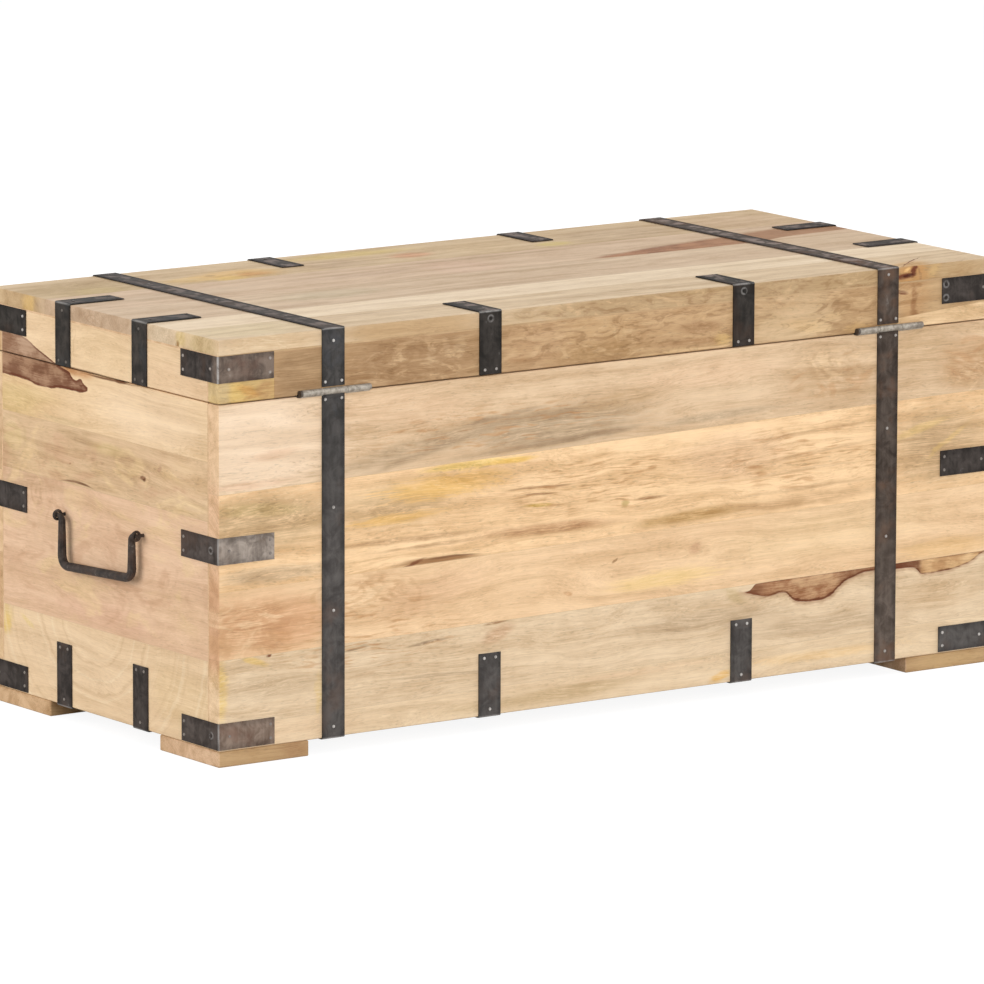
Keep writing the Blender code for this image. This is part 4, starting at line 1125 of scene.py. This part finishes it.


# An iron's two tints, the tint and amount of its stains, the strength of the painted highlight on
# its bends, how worn its faces are, which also sets the painted sheen on its upward faces, and the
# tint of its nails
Iron = namedtuple("Iron", "dark light stain stained bends worn nails")
SOOTY = Iron((50, 45, 42), (78, 71, 67), (84, 66, 55), 0.5, 0.5, 0.35, (134, 126, 119))
CHARCOAL = Iron((70, 66, 64), (98, 94, 91), (102, 84, 74), 0.45, 0.5, 0.12, (196, 192, 187))
SLATE = Iron((56, 54, 52), (84, 81, 79), (72, 76, 84), 0.4, 0.6, 0.3, (196, 192, 187))
NEAR_BLACK = Iron((42, 39, 36), (66, 61, 57), (78, 60, 50), 0.4, 0.6, 0.45, (172, 166, 160))
DUSKY = Iron((60, 53, 49), (92, 83, 78), (92, 74, 64), 0.5, 0.5, 0.35, (140, 131, 124))
DIM_BLACK = Iron((46, 43, 40), (72, 66, 61), (56, 62, 64), 0.5, 0.4, 0.2, (104, 97, 91))
BROWNED = Iron((60, 51, 45), (94, 83, 75), (108, 80, 62), 0.6, 0.5, 0.5, (166, 160, 154))
WORN_BROWN = Iron((78, 68, 61), (112, 100, 91), (118, 90, 72), 0.6, 0.5, 0.5, (170, 164, 158))
GREYED = Iron((90, 78, 70), (134, 118, 106), (112, 86, 74), 0.6, 0.9, 0.8, (164, 154, 146))
RUSTED = Iron((108, 90, 78), (152, 134, 120), (124, 94, 80), 0.6, 0.5, 0.6, (170, 158, 148))
GALVANISED = Iron((122, 111, 102), (174, 162, 151), (128, 108, 92), 0.5, 0.2, 0.4, (200, 194, 186))
BARE_STEEL = (186, 182, 178)
TARNISH = (112, 104, 97)


def iron_tint(g, kind, seed):
    """Tint of a blackened strip: mottling, stains, rubbed spots and a painted highlight on its
    bends, with their share and relief.
    """
    point = g.vector("ADD", g.place(), (seed, seed * 0.7, seed * 1.3))
    blotch = g.noise(point, 4.0, 0.65, 0.6, scale=70.0)
    speck = g.noise(point, 2.0, 0.6, scale=700.0)
    stain = g.noise(point, 3.0, 0.6, scale=26.0)
    drawn = g.noise(g.vector("MULTIPLY", point, (260.0, 260.0, 34.0)), 2.0)
    tint = g.mix(g.ease(blotch + drawn * 0.3, 0.45, 0.85), kind.dark, kind.light)
    tint = g.mix(g.ease(stain, 0.5, 0.68) * kind.stained, tint, kind.stain)
    rubbed = g.ease(blotch + drawn * 0.25 + speck * 0.2 - stain * 0.2, 0.8, 1.0) * kind.worn
    # Painted highlight along the outer side of each bend, in the tint of bare steel
    bend = bend_glint_share(g) * g.ease(blotch + speck * 0.3, 0.35, 0.75) * kind.bends
    # The rubbed spots and the painted bend highlight together; the strip is smoother there too
    wear_and_glint = g.math("MAXIMUM", rubbed * 0.7, bend)
    return g.mix(wear_and_glint, tint, BARE_STEEL), wear_and_glint, blotch + speck * 0.35


def edge_share(g, node_name):
    """1 along both edges of a strip and 0 along its middle, by the axis that it lies across."""
    low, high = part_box(node_name)
    across = min(range(len(low)), key=lambda axis: abs(high[axis] - low[axis] - IRON_WIDTH))
    place = g.separate(g.place())[across]
    off = g.math("ABSOLUTE", place - (low[across] + high[across]) / 2)
    return g.ease(off, IRON_WIDTH * 0.2, IRON_WIDTH * 0.5)


# Pale rings round nails, in metres from their middles: where they start and end, with their
# blurred borders, how far they wander, and where the dark head inside them ends
RING_START, RING_END = (0.0018, 0.0027), (0.0043, 0.0035)
RING_WANDER = 0.0016
RING_HEAD_END = (0.003, 0.002)
RING_STRENGTH = 0.33
# Paler tint of the painted sheen, with some rubbed wear, on the middle of the faces that look up
SHEEN_AND_WEAR_IRON = (152, 136, 128)


def iron(node_name, kind, seed, second=None, split=None, rings=()):
    """A strip's finish, with a painted sheen on its upward faces. It may have a second one past a
    plane, and pale rings round some nails.
    """
    material, g = new_material(f"{node_name}_finish")
    point = g.place()
    tint, wear_and_glint, relief = iron_tint(g, kind, seed)
    if second is not None:
        other, _, _ = iron_tint(g, second, seed + 3.0)
        axis, place, reach = split
        past = g.ease(g.separate(point)[axis], place - reach, place + reach)
        tint = g.mix(past, tint, other)
    edge = edge_share(g, node_name)
    # A painted sheen with some rubbed wear: paler patches along the middle of the faces that look up
    upright = g.noise(g.vector("ADD", point, (seed, seed, seed)), 3.0, 0.6, scale=55.0)
    rubbed = facing(g, 2, 1) * g.ease(upright, 0.46, 0.6) * g.ease(edge, 0.6, 0.1)
    tint = g.mix(rubbed * kind.worn * 1.3, tint, SHEEN_AND_WEAR_IRON)
    # Darker towards both edges of a strip, and twice as much on the faces that look up
    tint = g.scale(tint, 1.06 - edge * (facing(g, 2, 1) * 0.3 + 0.3))
    nails = nail_head_share(g)
    patina = g.noise(point, 3.0, 0.6, scale=240.0)
    head = g.mix(g.ease(patina, 0.45, 0.75) * 0.7, kind.nails, TARNISH)
    for centre in rings:
        away = g.length(g.vector("SUBTRACT", point, centre))
        away = away + patina * RING_WANDER - RING_WANDER / 2
        pale = g.ease(away, *RING_END) * g.ease(away, *RING_START)
        tint = g.mix(pale * g.ease(patina, 0.3, 0.6) * RING_STRENGTH, tint, BARE_STEEL)
        head = g.mix(g.ease(away, *RING_HEAD_END), head, kind.dark)
    upward = g.math("GREATER_THAN", outer_planes(g)[2], 0.0)
    tint = g.mix(nails * (1.0 - upward * 0.8), tint, head)
    roughness = 0.8 - wear_and_glint * 0.25 - nails * 0.2 + relief * 0.08
    dress(g, tint, roughness, relief, 0.45, 0.0003, 0.25, 0.12)
    return material


# A nail head's vertices lie within this of each other, and no two heads do
NAIL_REACH = 0.008


def nail_places(node_name):
    """Centres of a node's nail heads on its long or end face, found where the mesh is proud."""
    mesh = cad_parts[node_name].data
    groups = []
    for vertex in mesh.vertices:
        place = vertex.co
        if abs(place.y) < IRON_Y and abs(place.x) < IRON_X:
            continue
        for group in groups:
            if (place - group[0]).length < NAIL_REACH:
                group.append(place)
                break
        else:
            groups.append([place])
    return [sum(group, Vector()) / len(group) for group in groups]


# Finishes of the irons that differ from the rest, found by the end of their names
IRON_FINISHES = {
    "strap_left": (CHARCOAL, 1.0, SLATE, (2, 0.27, 0.08)),
    "lid_strap_left": (SLATE, 1.0, SOOTY, (2, 0.4005, 0.0004)),
    "strap_right": (WORN_BROWN, 2.0, BROWNED, (2, 0.13, 0.07)),
    "lid_bracket_hinge_side_left": (NEAR_BLACK, 3.0),
    "lid_bracket_hinge_side_right": (NEAR_BLACK, 4.0),
    "lid_corner_iron_left_hinge_side": (GREYED, 5.0, SOOTY, (1, -0.188, 0.004)),
    "lid_corner_iron_left_opening_side": (NEAR_BLACK, 5.5),
    "middle_corner_iron_left_hinge_side": (DUSKY, 6.0, GALVANISED, (0, -0.4505, 0.0004)),
    "bottom_corner_iron_left_hinge_side": (DUSKY, 7.0, RUSTED, (0, -0.4505, 0.0004)),
    "lid_bracket_left_end_hinge_side": (DIM_BLACK, 8.0),
    "lid_bracket_left_end_opening_side": (DIM_BLACK, 9.0),
    "box_bracket_hinge_side_right": (CHARCOAL, 10.0),
    "box_bracket_hinge_side_left": (CHARCOAL, 11.0),
    "bottom_corner_iron_right_hinge_side": (CHARCOAL, 12.0),
}

# Nails whose heads are seen as pale rings: the ones that lie furthest along these directions
RING_NAILS = {
    "lid_bracket_hinge_side_left": ((0, 0, 1),),
    "lid_bracket_hinge_side_right": ((0, 0, 1),),
    "middle_corner_iron_left_hinge_side": ((-2, -1, 0),),
    "bottom_corner_iron_left_hinge_side": ((-2, -1, 0),),
    "lid_corner_iron_right_hinge_side": ((-1, -1, 1), (-1, -1, -1)),
}

for iron_number, node_name in enumerate(sorted(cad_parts)):
    if not any(word in node_name for word in ("strap", "iron", "bracket")):
        continue
    settings = (SOOTY, iron_number * 0.37)
    for ending, finish in IRON_FINISHES.items():
        if node_name.endswith(ending):
            settings = finish
    rings = []
    for direction in RING_NAILS.get(node_name, ()):
        rings.append(max(nail_places(node_name), key=Vector(direction).dot))
    kind, seed, *rest = settings
    second, split = rest or (None, None)
    finish_node(node_name, iron(node_name, kind, seed, second, split, rings))


def forged_iron():
    """The handles and their eyes: black scale, brown where it has worn thin."""
    material, g = new_material("forged_iron")
    point = g.place()
    scale = g.noise(point, 4.0, 0.62, 0.4, scale=130.0)
    rust = g.noise(point, 3.0, 0.6, scale=45.0)
    speck = g.noise(point, 1.0, 0.5, scale=900.0)
    tint = g.mix(g.ease(scale, 0.35, 0.7), (42, 36, 33), (78, 68, 62))
    tint = g.mix(g.ease(rust, 0.48, 0.7) * 0.6, tint, (84, 62, 50))
    tint = g.mix(g.ease(scale + speck * 0.3, 0.78, 0.92) * 0.6, tint, (150, 145, 140))
    dress(g, tint, 0.55 + scale * 0.3, scale + speck * 0.15, 0.6, 0.0005, 0.3, 0.25)
    return material


HINGE_TIP_REACH = 0.0035


def hinge_steel():
    """Zinced steel, dulled and flecked, with grime in patches, and darker towards the left end of
    each barrel.
    """
    material, g = new_material("hinge_steel")
    point = g.place()
    cast = g.noise(point, 4.0, 0.65, 0.5, scale=260.0)
    speck = g.noise(point, 2.0, 0.6, scale=1100.0)
    grime = g.noise(point, 3.0, 0.6, scale=60.0)
    tint = g.mix(g.ease(cast, 0.3, 0.7), (132, 123, 112), (182, 174, 161))
    tint = g.mix(g.ease(grime, 0.52, 0.72) * 0.7, tint, (104, 92, 80))
    tint = g.mix(g.ease(speck, 0.62, 0.76) * 0.35, tint, (92, 86, 80))
    # Darker within a few millimetres of the left end of each barrel
    x = g.separate(point)[0]
    for end in ("left", "right"):
        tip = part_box(f"hinge_{end}_pin")[0].x
        dark_tip = g.ease(g.math("ABSOLUTE", x - tip), HINGE_TIP_REACH, HINGE_TIP_REACH / 2)
        tint = g.mix(dark_tip * 0.85, tint, (52, 40, 34))
    dress(g, tint, 0.42 + cast * 0.3, cast + speck * 0.4, 0.5, 0.0003, 0.5, 0.5)
    return material


black_scale = forged_iron()
steel = hinge_steel()
for node_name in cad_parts:
    if "handle" in node_name:
        finish_node(node_name, black_scale)
    elif node_name.startswith("hinge_") and "wall" not in node_name:
        finish_node(node_name, steel)


# Hinge screws: three flat slotted heads in each leaf, sunk until they are almost flush
SCREW_HEAD_RADIUS = 0.0034
SCREW_PROUD = 0.00008
SCREW_DEPTH = 0.0006
SCREW_SLOT_WIDTH = 0.0008
SCREW_SLOT_DEPTH = 0.0005
SCREW_SIDES = 32

# Where a leaf's screws are, as shares of its length and width, and how far the middle one is
# set off from the other two
SCREW_SHARES = (0.14, 0.5, 0.86)
LEAF_SCREW_SHARE = 0.62
SCREW_STAGGER = 0.0012
SCREW_TURN = 0.9


def screw_head(name, place, up, turn):
    """A slotted countersunk head whose flat faces along up, which is 1 or -1."""
    work = bmesh.new()
    bmesh.ops.create_cone(
        work, cap_ends=True, segments=SCREW_SIDES, radius1=SCREW_HEAD_RADIUS - SCREW_DEPTH,
        radius2=SCREW_HEAD_RADIUS, depth=SCREW_DEPTH,
    )
    top = SCREW_DEPTH / 2
    half_slot = SCREW_SLOT_WIDTH / 2
    for offset in (-half_slot, half_slot):
        everything = work.verts[:] + work.edges[:] + work.faces[:]
        bmesh.ops.bisect_plane(
            work, geom=everything, plane_co=(0.0, offset, 0.0), plane_no=(0.0, 1.0, 0.0)
        )
    slot = [
        face for face in work.faces
        if face.normal.z > 0.5 and abs(face.calc_center_median().y) < half_slot
    ]
    sunk = bmesh.ops.extrude_face_region(work, geom=slot)["geom"]
    bmesh.ops.delete(work, geom=slot, context="FACES_ONLY")
    for vertex in sunk:
        if isinstance(vertex, bmesh.types.BMVert):
            vertex.co.z = top - SCREW_SLOT_DEPTH
    bmesh.ops.recalc_face_normals(work, faces=work.faces)
    facing_up = Matrix.Rotation(0.0 if up > 0 else math.pi, 4, "X")
    lift = Matrix.Translation(Vector(place) + Vector((0.0, 0.0, up * (SCREW_PROUD - top))))
    matrix = lift @ facing_up @ Matrix.Rotation(turn, 4, "Z")
    bmesh.ops.transform(work, verts=work.verts, matrix=matrix)
    return add_mesh(name, work, steel)


def make_hinge_screws():
    """Heads on the faces of the leaves that meet when the lid is shut."""
    for end in ("left", "right"):
        for leaf, body, up in (("lower_leaf", "box", 1), ("upper_leaf", "lid", -1)):
            low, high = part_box(f"hinge_{end}_{leaf}")
            wall_y = low.y + (high.y - low.y) * LEAF_SCREW_SHARE
            face_z = high.z if up > 0 else low.z
            for number, share in enumerate(SCREW_SHARES):
                x = low.x + (high.x - low.x) * share
                y = wall_y - SCREW_STAGGER if number == 1 else wall_y
                name = f"hinge_{end}_{leaf}_screw_{number + 1}"
                head = screw_head(name, (x, y, face_z), up, number * SCREW_TURN + up)
                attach(head, body)


make_hinge_screws()


# Stage: a white floor that keeps a faint shadow, soft lamps and a plain white world
FLOOR_SIDE = 120.0
FLOOR_GREY = (0.5, 0.5, 0.5, 1.0)
SEEN_FLOOR_GREY = (0.20, 0.20, 0.20, 1.0)
SEEN_FLOOR_GLOW = 0.90
WORLD_LIGHT = (0.50, 0.50, 0.505, 1.0)
WHITE_LIGHT = (1.0, 1.0, 1.0, 1.0)


def seen_directly(g):
    """1 for rays from the camera, and for those that a surface mirrors or lets through."""
    path = g.node("LightPath", output="Is Camera Ray").socket.node
    kinds = ("Camera", "Glossy", "Transmission")
    return g.highest(*(Field(g, path.outputs[f"Is {kind} Ray"]) for kind in kinds))


def make_floor():
    material, g = new_material("floor")
    g.nodes.clear()
    lit = g.node("BsdfDiffuse", {"Color": FLOOR_GREY})
    seen = g.node("BsdfDiffuse", {"Color": SEEN_FLOOR_GREY})
    glow = g.node("Emission", {"Strength": SEEN_FLOOR_GLOW})
    both = g.node("AddShader", {0: seen, 1: glow})
    g.output("Material", g.node("MixShader", {0: seen_directly(g), 1: lit, 2: both}))
    work = bmesh.new()
    bmesh.ops.create_grid(work, x_segments=1, y_segments=1, size=FLOOR_SIDE / 2)
    floor = add_mesh("floor", work, material)


def make_world():
    world = bpy.data.worlds.new("white_room")
    bpy.context.scene.world = world
    world.use_nodes = True
    g = Graph(world)
    g.nodes.clear()
    lit = g.node("Background", {"Color": WORLD_LIGHT})
    white = g.node("Background", {"Color": WHITE_LIGHT})
    g.output("World", g.node("MixShader", {0: seen_directly(g), 1: lit, 2: white}))


# Each lamp's place, width and power in watts
LAMPS = {
    "left_lamp": ((-3.4, 0.9, 1.3), 2.6, 61.0),
    "front_lamp": ((-0.8, -3.8, 1.2), 2.2, 73.0),
    "right_lamp": ((3.4, -1.0, 1.3), 2.0, 52.0),
    "back_lamp": ((0.8, 3.6, 1.3), 2.2, 48.0),
}


def make_lamp(name, place, width, power):
    data = bpy.data.lights.new(name, "AREA")
    data.shape = "DISK"
    data.size = width
    data.energy = power
    lamp = add_object(name, data)
    lamp.location = place
    aim = Vector((0.0, 0.0, TOP_Z / 2)) - lamp.location
    lamp.rotation_euler = aim.to_track_quat("-Z", "Y").to_euler()


def make_camera():
    data = bpy.data.cameras.new("camera")
    data.sensor_width = SENSOR_WIDTH
    data.lens = CAMERA_LENS
    data.clip_end = CAMERA_REACH
    camera = add_object("camera", data)
    right, up = Vector(CAMERA_RIGHT), Vector(CAMERA_UP)
    turn = Matrix((right, up, right.cross(up))).transposed()
    camera.matrix_world = Matrix.Translation(CAMERA_LOCATION) @ turn.to_4x4()
    bpy.context.scene.camera = camera


make_floor()
make_world()
for lamp_name, lamp in LAMPS.items():
    make_lamp(lamp_name, *lamp)
make_camera()
bpy.context.scene.view_settings.view_transform = "Standard"
